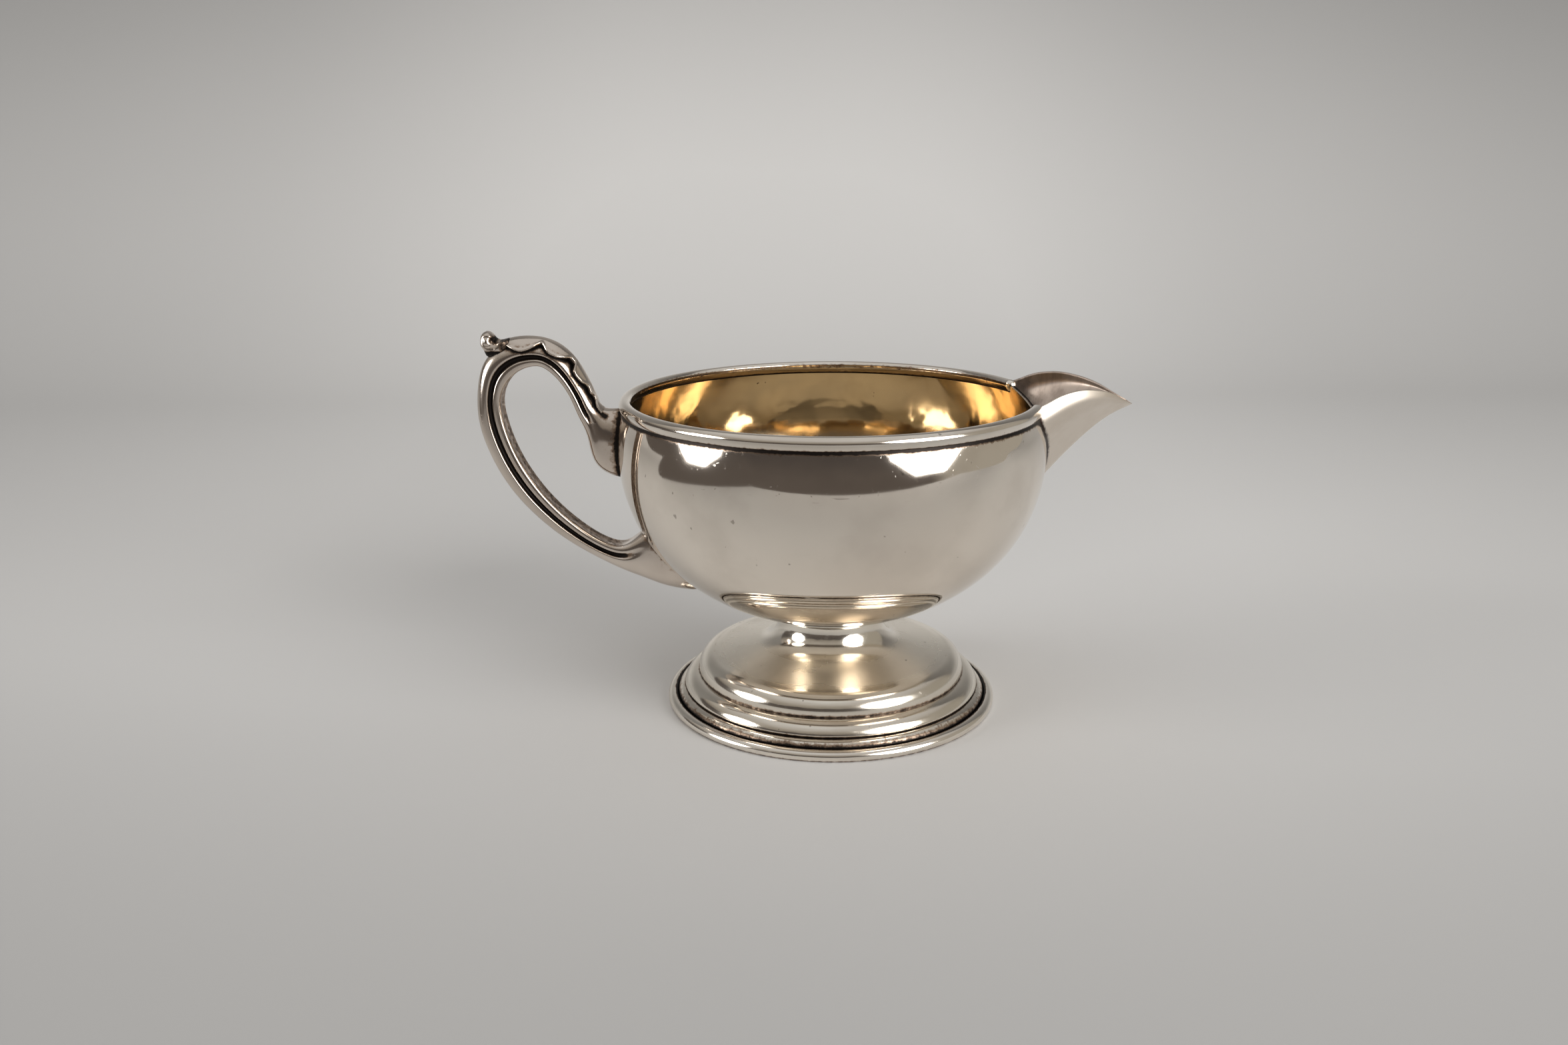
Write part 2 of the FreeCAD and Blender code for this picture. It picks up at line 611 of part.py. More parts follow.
# ---------------------------------------------------------------- build and export
def check(objects):
    bad = []
    for item in doc.Objects:
        if "Invalid" in item.State or "Error" in item.State:
            bad.append((item.Name, item.State))
    for item in objects:
        shape = item.Shape
        solids = len(shape.Solids)
        box = shape.BoundBox
        print("%-18s valid %s solids %d volume %9.1f box %s" % (
            item.Label, shape.isValid(), solids, shape.Volume,
            " ".join("%.2f" % v for v in (box.XMin, box.XMax, box.YMin, box.YMax, box.ZMin, box.ZMax))))
        if shape.isNull() or not shape.isValid() or solids != 1:
            bad.append((item.Label, "shape"))
    if bad:
        raise RuntimeError("bad objects: %s" % bad)


def main():
    make_sheet()
    bowl_form = make_bowl_form()
    bowl = make_bowl()
    lining = make_lining()
    rim_wire = make_rim_wire(bowl, lining)
    foot = make_foot(bowl_form)
    ring = make_foot_ring()
    spout = make_spout(bowl_form, rim_wire)
    handle_form, halves = make_handle(bowl_form, rim_wire)
    leaf = make_leaf(handle_form)
    nodes = [bowl, lining, rim_wire, spout] + halves + [leaf, foot, ring]
    doc.recompute()
    check(nodes)
    os.makedirs("parts", exist_ok=True)
    for node in nodes:
        node.Shape.exportStep("parts/%s.step" % node.Label)
    doc.saveAs("cream_jug.FCStd")


main()
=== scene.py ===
"""Looks for the footed silver cream jug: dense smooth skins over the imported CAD, procedural
silver and gilt, a pale sweep with two octagonal soft boxes, and the camera."""

import math

import bmesh
import bpy
import numpy as np
from mathutils import Matrix, Vector


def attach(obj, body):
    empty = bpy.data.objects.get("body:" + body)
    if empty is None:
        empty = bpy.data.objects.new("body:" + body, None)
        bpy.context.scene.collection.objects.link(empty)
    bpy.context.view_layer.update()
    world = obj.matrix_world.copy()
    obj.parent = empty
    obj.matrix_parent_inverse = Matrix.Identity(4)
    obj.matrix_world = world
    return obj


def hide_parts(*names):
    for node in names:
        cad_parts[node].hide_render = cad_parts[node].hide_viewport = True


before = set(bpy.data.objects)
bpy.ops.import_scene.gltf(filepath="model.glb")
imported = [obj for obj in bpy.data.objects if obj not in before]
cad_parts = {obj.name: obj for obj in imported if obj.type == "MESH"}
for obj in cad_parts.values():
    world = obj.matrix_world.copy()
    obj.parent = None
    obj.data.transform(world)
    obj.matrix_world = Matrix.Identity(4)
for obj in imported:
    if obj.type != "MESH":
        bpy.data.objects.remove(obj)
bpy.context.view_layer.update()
MM = 0.001

# ---------------------------------------------------------------- curves (all sizes in mm)


def spline(knots, values, at):
    """natural cubic through the values at the knots"""
    x = np.asarray(knots, float)
    y = np.asarray(values, float)
    y = y.reshape(len(x), -1)
    n = len(x)
    h = np.diff(x)
    a = np.zeros((n, n))
    b = np.zeros((n, y.shape[1]))
    a[0, 0] = a[-1, -1] = 1.0
    for i in range(1, n - 1):
        a[i, i - 1], a[i, i], a[i, i + 1] = h[i - 1], 2 * (h[i - 1] + h[i]), h[i]
        b[i] = 6 * ((y[i + 1] - y[i]) / h[i] - (y[i] - y[i - 1]) / h[i - 1])
    m = np.linalg.solve(a, b)
    t = np.asarray(at, float)
    k = np.clip(np.searchsorted(x, t, side="right") - 1, 0, n - 2)
    d = (t - x[k])[..., None]
    hk = h[k][..., None]
    c1 = (y[k + 1] - y[k]) / hk - hk * (2 * m[k] + m[k + 1]) / 6
    out = y[k] + c1 * d + m[k] / 2 * d**2 + (m[k + 1] - m[k]) / (6 * hk) * d**3
    return out[..., 0] if out.shape[-1] == 1 else out


def chords(points):
    """distance along a line at each of its points"""
    p = np.asarray(points, float)
    return np.concatenate([[0.0], np.cumsum(np.linalg.norm(np.diff(p, axis=0), axis=1))])


def smooth(x, low, high):
    """0 below low, 1 above high, an even ease between"""
    t = np.clip((np.asarray(x, float) - low) / (high - low), 0.0, 1.0)
    return t * t * (3 - 2 * t)


def arc_run(p, q, radius, step):
    """points from p up to but not with q; a positive radius bends to the left of the way"""
    p, q = np.asarray(p, float), np.asarray(q, float)
    chord = q - p
    length = np.linalg.norm(chord)
    if radius is None:
        count = max(int(length / step), 1)
        return [p + chord * i / count for i in range(count)]
    side = np.array([-chord[1], chord[0]]) / length * (1 if radius > 0 else -1)
    r = abs(radius)
    centre = (p + q) / 2 + side * math.sqrt(max(r * r - length * length / 4, 0.0))
    start = math.atan2(*(p - centre)[::-1])
    sweep = 2 * math.asin(min(length / 2 / r, 1.0)) * (1 if radius > 0 else -1)
    count = max(int(r * abs(sweep) / step), 2)
    angles = [start + sweep * i / count for i in range(count)]
    return [centre + r * np.array([math.cos(t), math.sin(t)]) for t in angles]


def outline(corners, bends, round_off):
    """dense closed line through the corners, its creases rounded over about round_off"""
    step = 0.08
    run = []
    for i, corner in enumerate(corners):
        run += arc_run(corner, corners[(i + 1) % len(corners)], bends.get(i), step)
    p = np.array(run)
    for _ in range(int((round_off / step) ** 2)):
        p = (np.roll(p, 1, 0) + 2 * p + np.roll(p, -1, 0)) / 4
    return thin(p)


def thin(p, gap=0.9, turn=0.06):
    """drop points where the closed line is nearly straight"""
    keep = [0]
    heading = None
    for i in range(1, len(p)):
        step = p[i] - p[keep[-1]]
        ahead = p[(i + 1) % len(p)] - p[i]
        now = math.atan2(ahead[1], ahead[0])
        if heading is None:
            heading = now
        swing = abs((now - heading + math.pi) % (2 * math.pi) - math.pi)
        if np.linalg.norm(step) > gap or swing > turn:
            keep.append(i)
            heading = now
    return p[keep]


# ---------------------------------------------------------------- meshes


def grid_faces(rows, cols, wrap_rows, wrap_cols, flip=False):
    """quads over a grid of points listed row by row"""
    r = np.arange(rows if wrap_rows else rows - 1)
    c = np.arange(cols if wrap_cols else cols - 1)
    rr, cc = np.meshgrid(r, c, indexing="ij")
    r2, c2 = (rr + 1) % rows, (cc + 1) % cols
    quads = np.stack([rr * cols + cc, rr * cols + c2, r2 * cols + c2, r2 * cols + cc], -1)
    quads = quads.reshape(-1, 4)
    return (quads[:, ::-1] if flip else quads).tolist()


def end_fans(rows, cols, flip=False):
    """triangles from a tube's end rows to two tips listed after the grid"""
    last = (rows - 1) * cols
    fans = []
    for c in range(cols):
        nxt = (c + 1) % cols
        for tip, a, b in ((rows * cols, nxt, c), (rows * cols + 1, last + c, last + nxt)):
            fans.append([tip, b, a] if flip else [tip, a, b])
    return fans


def build(name, verts, faces, material, stands_for, tarnish_and_painted_shade, sharp=None, inside=None):
    """a skin that stands for CAD nodes; the materials read the darkening attribute (tarnish and
    painted shade) and inside
    """
    mesh = bpy.data.meshes.new(name)
    mesh.from_pydata((np.asarray(verts) * MM).tolist(), [], faces)
    body = bmesh.new()
    body.from_mesh(mesh)
    bmesh.ops.recalc_face_normals(body, faces=body.faces)
    body.to_mesh(mesh)
    body.free()
    mesh.polygons.foreach_set("use_smooth", [True] * len(mesh.polygons))
    if sharp:
        mesh.set_sharp_from_angle(angle=math.radians(sharp))
    # darkening attribute: real tarnish, and painted shade under the rim wire and along the leaf's
    # raised edge
    layer = mesh.attributes.new("tarnish_and_painted_shade", "FLOAT", "POINT")
    layer.data.foreach_set("value", np.clip(tarnish_and_painted_shade, 0, 1).astype(np.float32))
    if inside is not None:
        layer = mesh.attributes.new("inside", "FLOAT", "POINT")
        layer.data.foreach_set("value", np.asarray(inside, np.float32))
    mesh.update()
    piece = bpy.data.objects.new(name, mesh)
    bpy.context.scene.collection.objects.link(piece)
    mesh.materials.append(material)
    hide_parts(*stands_for)
    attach(piece, "root")


def ring_grid(profile, angles):
    """(rows, cols, 3) with rows along the profile"""
    r = profile[:, 0][:, None]
    z = profile[:, 1][:, None]
    return np.stack([r * np.cos(angles), r * np.sin(angles), z + 0 * angles], -1)


def lathe(profile, count=400):
    """closed ring of a closed profile"""
    angles = np.linspace(0, 2 * math.pi, count, endpoint=False)
    grid = ring_grid(profile, angles)
    return grid.reshape(-1, 3), grid_faces(len(profile), count, True, True)


# ---------------------------------------------------------------- bowl line
BOWL_ARCS = [  # (centre radius, centre height, arc radius, from angle, to angle)
    (0.0, 79.736, 58.904, -90.0, -59.2984),
    (6.574, 68.664, 46.027, -59.2984, -46.9979),
    (12.180, 62.653, 37.808, -46.9979, 17.3061),
]
BOTTOM, LOW_JOINT, HIGH_JOINT = 20.84, 29.088, 35.003  # heights where the arcs start and meet
LIP_TURN = BOWL_ARCS[-1][-1]
SEATED = 0.35  # how far the handle's ends sink into the bowl's skin
WALL, GILT = 0.9, 0.12
NOTCH_HALF, NOTCH_LOW, LIP = 15.6, 68.6, 73.9


def bowl_point(turn, depth):
    """(radius, height) of the bowl line at a turn in degrees, set in by depth"""
    turn = np.asarray(turn, float)
    r = np.zeros_like(turn)
    z = np.zeros_like(turn)
    for cr, cz, big, low, high in BOWL_ARCS:
        here = (turn >= low) & (turn <= high + 1e-9)
        a = np.radians(turn)
        r = np.where(here, cr + (big - depth) * np.cos(a), r)
        z = np.where(here, cz + (big - depth) * np.sin(a), z)
    return r, z


def bowl_arc(z):
    """centre radius, centre height and radius of the outer arc at a height"""
    low, middle, high = BOWL_ARCS
    return [np.where(z < LOW_JOINT, low[k], np.where(z < HIGH_JOINT, middle[k], high[k]))
            for k in range(3)]


def bowl_radius(z):
    """outer radius of the bowl at a height"""
    z = np.clip(np.asarray(z, float), BOTTOM, LIP)
    cr, cz, big = bowl_arc(z)
    return cr + np.sqrt(np.maximum(big**2 - (z - cz) ** 2, 0.0))


def bowl_tops(angles, depth):
    """the turn at which each column ends: the lip, or the vee of the spout's notch"""
    turns = np.linspace(-20.0, LIP_TURN, 1500)
    r, z = bowl_point(turns, depth)
    tops = []
    for a in angles:
        vee = NOTCH_LOW + abs(r * math.sin(a)) * (LIP - NOTCH_LOW) / NOTCH_HALF
        over = np.nonzero(z >= vee)[0] if math.cos(a) > 0 else []
        tops.append(turns[over[0]] if len(over) else turns[-1])
    return np.array(tops)


def bowl_skin(angles, depth, step=0.8):
    """(rows, cols, 3) from near the axis to the lip"""
    split = 5.0
    lower = np.arange(-90.0 + step, split, step)
    upper = np.linspace(0.0, 1.0, 22)
    tops = bowl_tops(angles, depth)
    turn = np.vstack([np.repeat(lower[:, None], len(angles), 1),
                      split + upper[:, None] * (tops - split)[None, :]])
    r, z = bowl_point(turn, depth)
    return np.stack([r * np.cos(angles), r * np.sin(angles), z], -1)


def bowl_shell(outer_depth, inner_depth, count=480):
    """closed shell between two depths of the bowl line"""
    angles = np.linspace(0, 2 * math.pi, count, endpoint=False)
    out = bowl_skin(angles, outer_depth)
    inn = bowl_skin(angles, inner_depth)[::-1]
    grid = np.concatenate([out, inn])
    rows = len(grid)
    low = np.array([[0, 0, bowl_point(np.array([-90.0]), outer_depth)[1][0]],
                    [0, 0, bowl_point(np.array([-90.0]), inner_depth)[1][0]]])
    verts = np.concatenate([grid.reshape(-1, 3), low])
    return verts, grid_faces(rows, count, False, True) + end_fans(rows, count)


# ---------------------------------------------------------------- handle
STATIONS = np.array([  # back x, z; finger side x, z; half width; groove strength
    (-44.5, 72.1, -44.5, 55.7, 4.7, 0.0), (-49.6, 72.1, -50.2, 55.9, 4.7, 0.0),
    (-51.1, 72.1, -55.4, 59.3, 4.6, 0.0), (-52.8, 72.3, -57.1, 65.6, 3.9, 0.15),
    (-54.6, 73.5, -58.8, 70.2, 3.5, 0.7), (-56.0, 76.0, -60.1, 73.6, 3.35, 1.0),
    (-57.7, 79.2, -61.6, 76.8, 3.3, 1.0), (-59.9, 82.8, -63.7, 79.7, 3.3, 1.0),
    (-62.8, 85.8, -66.0, 81.7, 3.3, 1.0), (-67.0, 87.7, -68.3, 82.3, 3.3, 1.0),
    (-72.6, 87.9, -71.3, 81.4, 3.3, 1.0), (-77.2, 86.3, -73.6, 79.6, 3.3, 1.0),
    (-80.4, 82.8, -75.1, 77.6, 3.3, 1.0), (-81.9, 77.8, -76.0, 75.2, 3.3, 1.0),
    (-82.35, 72.0, -76.1, 72.2, 3.3, 1.0), (-81.5, 66.0, -75.1, 67.4, 3.3, 1.0),
    (-79.1, 59.4, -73.2, 62.0, 3.3, 1.0), (-76.1, 53.9, -70.6, 57.0, 3.3, 1.0),
    (-72.3, 48.9, -67.3, 52.2, 3.3, 1.0), (-67.2, 43.8, -63.0, 47.4, 3.25, 1.0),
    (-61.8, 39.65, -58.4, 43.4, 3.25, 1.0), (-56.7, 36.5, -54.2, 40.7, 3.3, 1.0),
    (-52.0, 33.9, -50.4, 39.6, 3.4, 0.8), (-48.1, 32.0, -47.2, 40.9, 3.7, 0.3),
    (-44.3, 30.4, -43.6, 43.6, 4.1, 0.0), (-40.3, 28.8, -39.4, 45.0, 4.3, 0.0),
    (-35.0, 27.6, -34.4, 44.5, 4.0, 0.0), (-29.0, 27.1, -28.6, 41.0, 3.0, 0.0),
])
PLAIN = [(0.0, 1.0), (0.45, 0.90), (0.80, 0.62), (0.97, 0.26), (1.0, 0.0), (0.99, -0.18),
         (0.97, -0.32), (0.94, -0.46), (0.88, -0.62), (0.76, -0.80), (0.52, -0.93), (0.0, -1.0)]
GROOVED = [(0.0, 1.0), (0.46, 0.92), (0.80, 0.66), (0.96, 0.34), (0.95, 0.10), (0.76, -0.02),
           (0.74, -0.20), (0.91, -0.31), (0.99, -0.46), (0.96, -0.72), (0.70, -0.90), (0.0, -0.80)]


def handle_line(at):
    """middle, outward unit, half depth, half width and groove at the given stations"""
    s = spline(np.arange(len(STATIONS)), STATIONS, at)
    back, finger = s[..., 0:2], s[..., 2:4]
    middle = (back + finger) / 2
    reach = np.linalg.norm(back - finger, axis=-1)
    return middle, (back - finger) / reach[..., None], reach / 2, s[..., 4], s[..., 5]


def loop_shares(groove_table, count):
    """closed loop of (width share, depth share), starting at the back crest"""
    side = np.array(groove_table, float)
    loop = np.vstack([side, (side * [-1, 1])[-2::-1]])
    t = np.linspace(0, len(loop) - 1, count, endpoint=False)
    wide = np.vstack([loop[-4:-1], loop, loop[1:4]])
    return spline(np.arange(-3, len(loop) + 3), wide, t)


def handle_surface(at, count):
    """(rows, count, 3) for a (rows, count) table of stations"""
    plain = loop_shares(PLAIN, count)
    cut = loop_shares(GROOVED, count)
    middle, outward, half, width, groove = handle_line(at)
    g = np.clip(groove, 0, 1)[..., None]
    share = plain[None] * (1 - g) + cut[None] * g
    x = middle[..., 0] + outward[..., 0] * share[..., 1] * half
    z = middle[..., 1] + outward[..., 1] * share[..., 1] * half
    y = share[..., 0] * width
    return np.stack([x, y, z], -1)


def lay_on_bowl(points, share):
    """draw points towards a line just under the bowl's skin"""
    r, z = np.hypot(points[..., 0], points[..., 1]), points[..., 2]
    cr, cz, big = bowl_arc(z)
    far = np.hypot(r - cr, z - cz)
    move = np.maximum(far - big + SEATED, 0) * share
    new_r = r - (r - cr) / far * move
    new_z = z - (z - cz) / far * move
    scale = new_r / np.maximum(r, 1e-6)
    return np.stack([points[..., 0] * scale, points[..., 1] * scale, new_z], -1)


def handle_skin(count=112):
    """both halves as one skin, each column starting and ending where it meets the bowl"""
    last = len(STATIONS) - 1
    fine = np.linspace(0, last, 1401)
    probe = handle_surface(np.repeat(fine[:, None], count, 1), count)
    clear = np.hypot(probe[..., 0], probe[..., 1]) - (bowl_radius(probe[..., 2]) - SEATED)
    starts, ends = np.zeros(count), np.zeros(count)
    half = len(fine) // 2
    for c in range(count):
        inside = np.nonzero(clear[:half, c] < 0)[0]
        starts[c] = fine[inside[-1]]
        inside = np.nonzero(clear[half:, c] < 0)[0]
        ends[c] = fine[half + inside[0]] if len(inside) else last
    a, b = 4.0, 21.0
    body = np.arange(a, b + 1e-6, 0.1)
    top = np.linspace(0, 1, 40, endpoint=False)[:, None]
    low = np.linspace(0, 1, 51)[1:][:, None]
    table = np.vstack([starts + (a - starts) * top, np.repeat(body[:, None], count, 1),
                       b + (ends - b) * low])
    grid = lay_on_bowl(handle_surface(table, count), smooth(table, 26.3, last))
    rows = len(grid)
    faces = grid_faces(rows, count, False, True, flip=True) + end_fans(rows, count, flip=True)
    caps = []
    for row in (0, rows - 1):
        p = grid[row].mean(0)
        r = float(bowl_radius(p[2])) - SEATED
        caps.append([-math.sqrt(max(r * r - p[1] ** 2, 0)), p[1], p[2]])
    verts = np.concatenate([grid.reshape(-1, 3), np.array(caps)])
    # tarnish sits in the grooves, on the finger side and where the ends meet the bowl; painted
    # shade with tarnish lies along the leaf's raised edge
    share = loop_shares(GROOVED, count)
    groove = handle_line(table)[4]
    dip = smooth(-np.abs(share[:, 1] + 0.11), -0.22, -0.08) * (np.abs(share[:, 0]) < 0.94)
    under = smooth(-share[:, 1], 0.5, 0.7) * 0.33 * smooth(-np.abs(share[:, 0]), -0.97, -0.75)
    tarnish_and_shade_marks = np.clip(groove, 0, 1) * (dip[None] * 0.95 + under[None])
    # painted shade with tarnish on the handle along the leaf's raised edge, which stands proud of
    # it
    edge = spline(chords(LEAF_EDGE), LEAF_EDGE, np.linspace(0, chords(LEAF_EDGE)[-1], 160))
    gap = np.full(grid.shape[:2], 9.0)
    for x, z in edge:
        gap = np.minimum(gap, np.hypot(grid[..., 0] - x, grid[..., 2] - z))
    leaf_edge_shade = np.exp(-gap / 0.6) * (np.abs(grid[..., 1]) > 1.2)
    tarnish_and_shade_marks = np.maximum(tarnish_and_shade_marks, 0.8 * leaf_edge_shade)
    reach = np.hypot(grid[..., 0], grid[..., 1]) - bowl_radius(grid[..., 2])
    tarnish_and_shade_marks = np.maximum(tarnish_and_shade_marks, 0.55 * np.exp(-np.maximum(reach, 0) / 0.5)
                      + 0.38 * np.exp(-np.maximum(reach, 0) / 2.2))
    return verts, faces, np.concatenate([tarnish_and_shade_marks.reshape(-1), [1, 1]])


# ---------------------------------------------------------------- leaf
LEAF_EDGE = np.array([
    (-52.5, 70.7), (-54.0, 71.9), (-54.9, 73.1), (-55.5, 74.7), (-56.4, 76.0), (-57.1, 77.5),
    (-58.0, 78.4), (-59.1, 79.8), (-59.8, 81.2), (-59.9, 82.6), (-60.6, 83.5), (-61.9, 84.0),
    (-63.9, 84.8), (-65.5, 85.9), (-66.6, 87.1), (-67.8, 86.8), (-69.3, 86.3), (-71.1, 86.0),
    (-73.1, 86.4), (-75.0, 87.0), (-77.0, 87.2),
])
LEAF_LIFT = [(3.0, 0.15), (4.0, 0.6), (5.0, 1.1), (6.0, 1.35), (7.0, 1.5), (8.0, 1.5),
             (9.0, 1.35), (10.0, 1.2), (10.6, 1.0), (11.0, 0.6)]


def leaf_skin(rows=150, count=64):
    """a sheet lying on the handle's back, its wavy edge raised to a bead"""
    at = np.linspace(3.05, 11.0, rows)
    middle, outward, half, width, _ = handle_line(at)
    ahead = np.stack([-outward[:, 1], outward[:, 0]], -1)
    dense = spline(chords(LEAF_EDGE), LEAF_EDGE, np.linspace(0, chords(LEAF_EDGE)[-1], 900))
    deep = []
    for i in range(rows):
        off = (dense - middle[i]) @ ahead[i]
        up = (dense - middle[i]) @ outward[i]
        near = np.where(up > -half[i], np.abs(off), 1e9)
        deep.append(up[np.argmin(near)] / half[i])
    deep = np.array(deep)
    for _ in range(3):
        deep[1:-1] = (deep[:-2] + 2 * deep[1:-1] + deep[2:]) / 4
    lift = np.interp(at, *np.array(LEAF_LIFT).T)
    for _ in range(40):
        lift[1:-1] = (lift[:-2] + 2 * lift[1:-1] + lift[2:]) / 4
    taper = 1 - 0.35 * smooth(at, 9.9, 11.0)
    side = np.array(PLAIN, float)
    level = np.linspace(0, len(side) - 1, 400)
    curve = spline(np.arange(len(side)), side, level)
    verts, tarnish_and_shade_marks = [], []
    for i in range(rows):
        # arc of the section from the crest down to the leaf's edge
        stop = level[np.nonzero(curve[:, 1] <= np.clip(deep[i], -0.9, 0.93))[0][0]]
        t = np.linspace(0, 1, count // 2 + 1)
        one = spline(np.arange(len(side)), side, t * stop)
        edge_bead = np.exp(-(((1 - t) * stop) / 0.35) ** 2)
        stand = lift[i] * (1 - 0.45 * t**2) + 0.42 * edge_bead
        scale = np.stack([(width[i] * taper[i] * one[:, 0]), half[i] * one[:, 1]], -1)
        n = np.gradient(scale, axis=0)
        n = np.stack([-n[:, 1], n[:, 0]], -1)
        n[0] = (0, 1)
        n /= np.linalg.norm(n, axis=1)[:, None] + 1e-9
        n[n[:, 0] < 0] *= -1
        top = scale + n * stand[:, None]
        under = scale[::-1] - n[::-1] * 0.25
        lip = (top[-1] + under[0]) / 2 + n[-1] * 0.05 + np.array([0.05, -0.22])
        half_loop = np.vstack([top, lip[None], under[:-1]])
        full = np.vstack([half_loop, (half_loop * [-1, 1])[:0:-1]])
        x = middle[i, 0] + outward[i, 0] * full[:, 1]
        z = middle[i, 1] + outward[i, 1] * full[:, 1]
        verts.append(np.stack([x, full[:, 0], z], -1))
        # painted shade: a faint dark line in the hollow inside the bead, and the bead's lip and
        # the sheet's underside dark, with tarnish
        hollow = 0.22 * smooth(t, 0.55, 0.78) * (1 - smooth(t, 0.80, 0.92))
        mark = np.concatenate([hollow, [0.9], np.ones(len(under) - 1)])
        tarnish_and_shade_marks.append(np.concatenate([mark, mark[:0:-1]]))
    grid = np.array(verts)
    cols = grid.shape[1]
    verts = np.concatenate([grid.reshape(-1, 3), [grid[0].mean(0), grid[-1].mean(0)]])
    faces = grid_faces(rows, cols, False, True) + end_fans(rows, cols)
    return verts, faces, np.concatenate([np.array(tarnish_and_shade_marks).reshape(-1), [1, 1]])


SCROLL = np.array([
    (-73.6, 88.7), (-75.5, 88.4), (-76.8, 88.7), (-77.6, 89.6), (-78.7, 90.4), (-80.0, 90.0),
    (-80.7, 88.7), (-80.6, 87.1), (-79.9, 85.9), (-79.3, 84.7), (-77.6, 84.7), (-75.7, 85.3),
    (-73.8, 86.4),
])


def scroll_skin(rows=44, count=144):
    """the leaf's tip curled up and back over itself into a small bud with hollowed sides"""
    loop = np.vstack([SCROLL[-3:], SCROLL, SCROLL[:4]])
    knots = chords(loop)
    span = np.linspace(knots[3], knots[3 + len(SCROLL)], count, endpoint=False)
    line = spline(knots, loop, span)
    heart = np.array([-77.9, 87.2])
    grid = []
    for turn in np.linspace(-math.pi / 2, math.pi / 2, rows + 2)[1:-1]:
        size = math.cos(turn) ** 0.55
        at = heart + (line - heart) * size
        wide = np.where(at[:, 0] < -77.2, 2.7, 3.0) * math.sin(turn)
        eye = np.exp(-((at[:, 0] + 77.4) ** 2 + (at[:, 1] - 88.3) ** 2) / 0.9)
        curl = np.exp(-((np.hypot(at[:, 0] + 78.9, at[:, 1] - 88.2) - 1.0) / 0.35) ** 2)
        wide = wide * (1 - 0.42 * eye - 0.10 * curl * (at[:, 1] > 86.6))
        grid.append(np.stack([at[:, 0], wide, at[:, 1]], -1))
    grid = np.array(grid)
    verts = np.concatenate([grid.reshape(-1, 3), [grid[0].mean(0), grid[-1].mean(0)]])
    faces = grid_faces(rows, count, False, True) + end_fans(rows, count)
    x, z = grid[..., 0], grid[..., 2]
    # painted shade and dark reflection in the curl's eye; the bud is also darker low down and
    # towards the leaf
    tarnish_and_shade_marks = 0.95 * np.exp(-np.hypot(x + 77.3, z - 88.5) / 0.8)
    tarnish_and_shade_marks = np.maximum(tarnish_and_shade_marks, 0.85 * smooth(-z, -86.6, -85.4))
    tarnish_and_shade_marks = np.maximum(tarnish_and_shade_marks, 0.45 * smooth(x, -76.8, -75.4))
    return verts, faces, np.concatenate([tarnish_and_shade_marks.reshape(-1), [0.2, 0.2]])


# ---------------------------------------------------------------- spout
SPOUT = np.array([  # reach, lip half width, lip height, keel height
    (41.0, 18.0, 73.6, 44.0), (44.0, 17.5, 74.2, 47.6), (47.0, 16.7, 75.3, 51.3),
    (50.0, 15.7, 76.6, 54.7), (53.0, 14.4, 77.35, 58.1), (56.0, 12.95, 77.6, 61.3),
    (59.0, 11.25, 77.3, 64.3), (62.0, 9.2, 76.6, 67.0), (65.0, 6.7, 75.4, 69.2),
    (67.5, 4.3, 73.95, 70.6), (69.4, 2.2, 72.9, 71.45), (70.6, 0.45, 72.2, 71.95),
])
SPOUT_SIDE = np.array([(0.0, 0.0), (0.035, 0.13), (0.12, 0.26), (0.26, 0.42), (0.42, 0.60),
                       (0.56, 0.77), (0.69, 0.93), (0.82, 1.02), (0.92, 1.02), (1.0, 1.0)])


def spout_point(reach, share):
    """outer skin; share runs -1 (right lip) through 0 (keel) to 1 (left lip)"""
    s = spline(SPOUT[:, 0], SPOUT[:, 1:], reach)
    both = np.vstack([(SPOUT_SIDE * [1, -1])[:0:-1], SPOUT_SIDE])
    line = spline(np.linspace(-1, 1, len(both)), both, share)
    y = s[..., 0] * line[..., 1]
    z = s[..., 2] + (s[..., 1] - s[..., 2]) * line[..., 0]
    return np.stack([reach + 0 * y, y, z], -1)


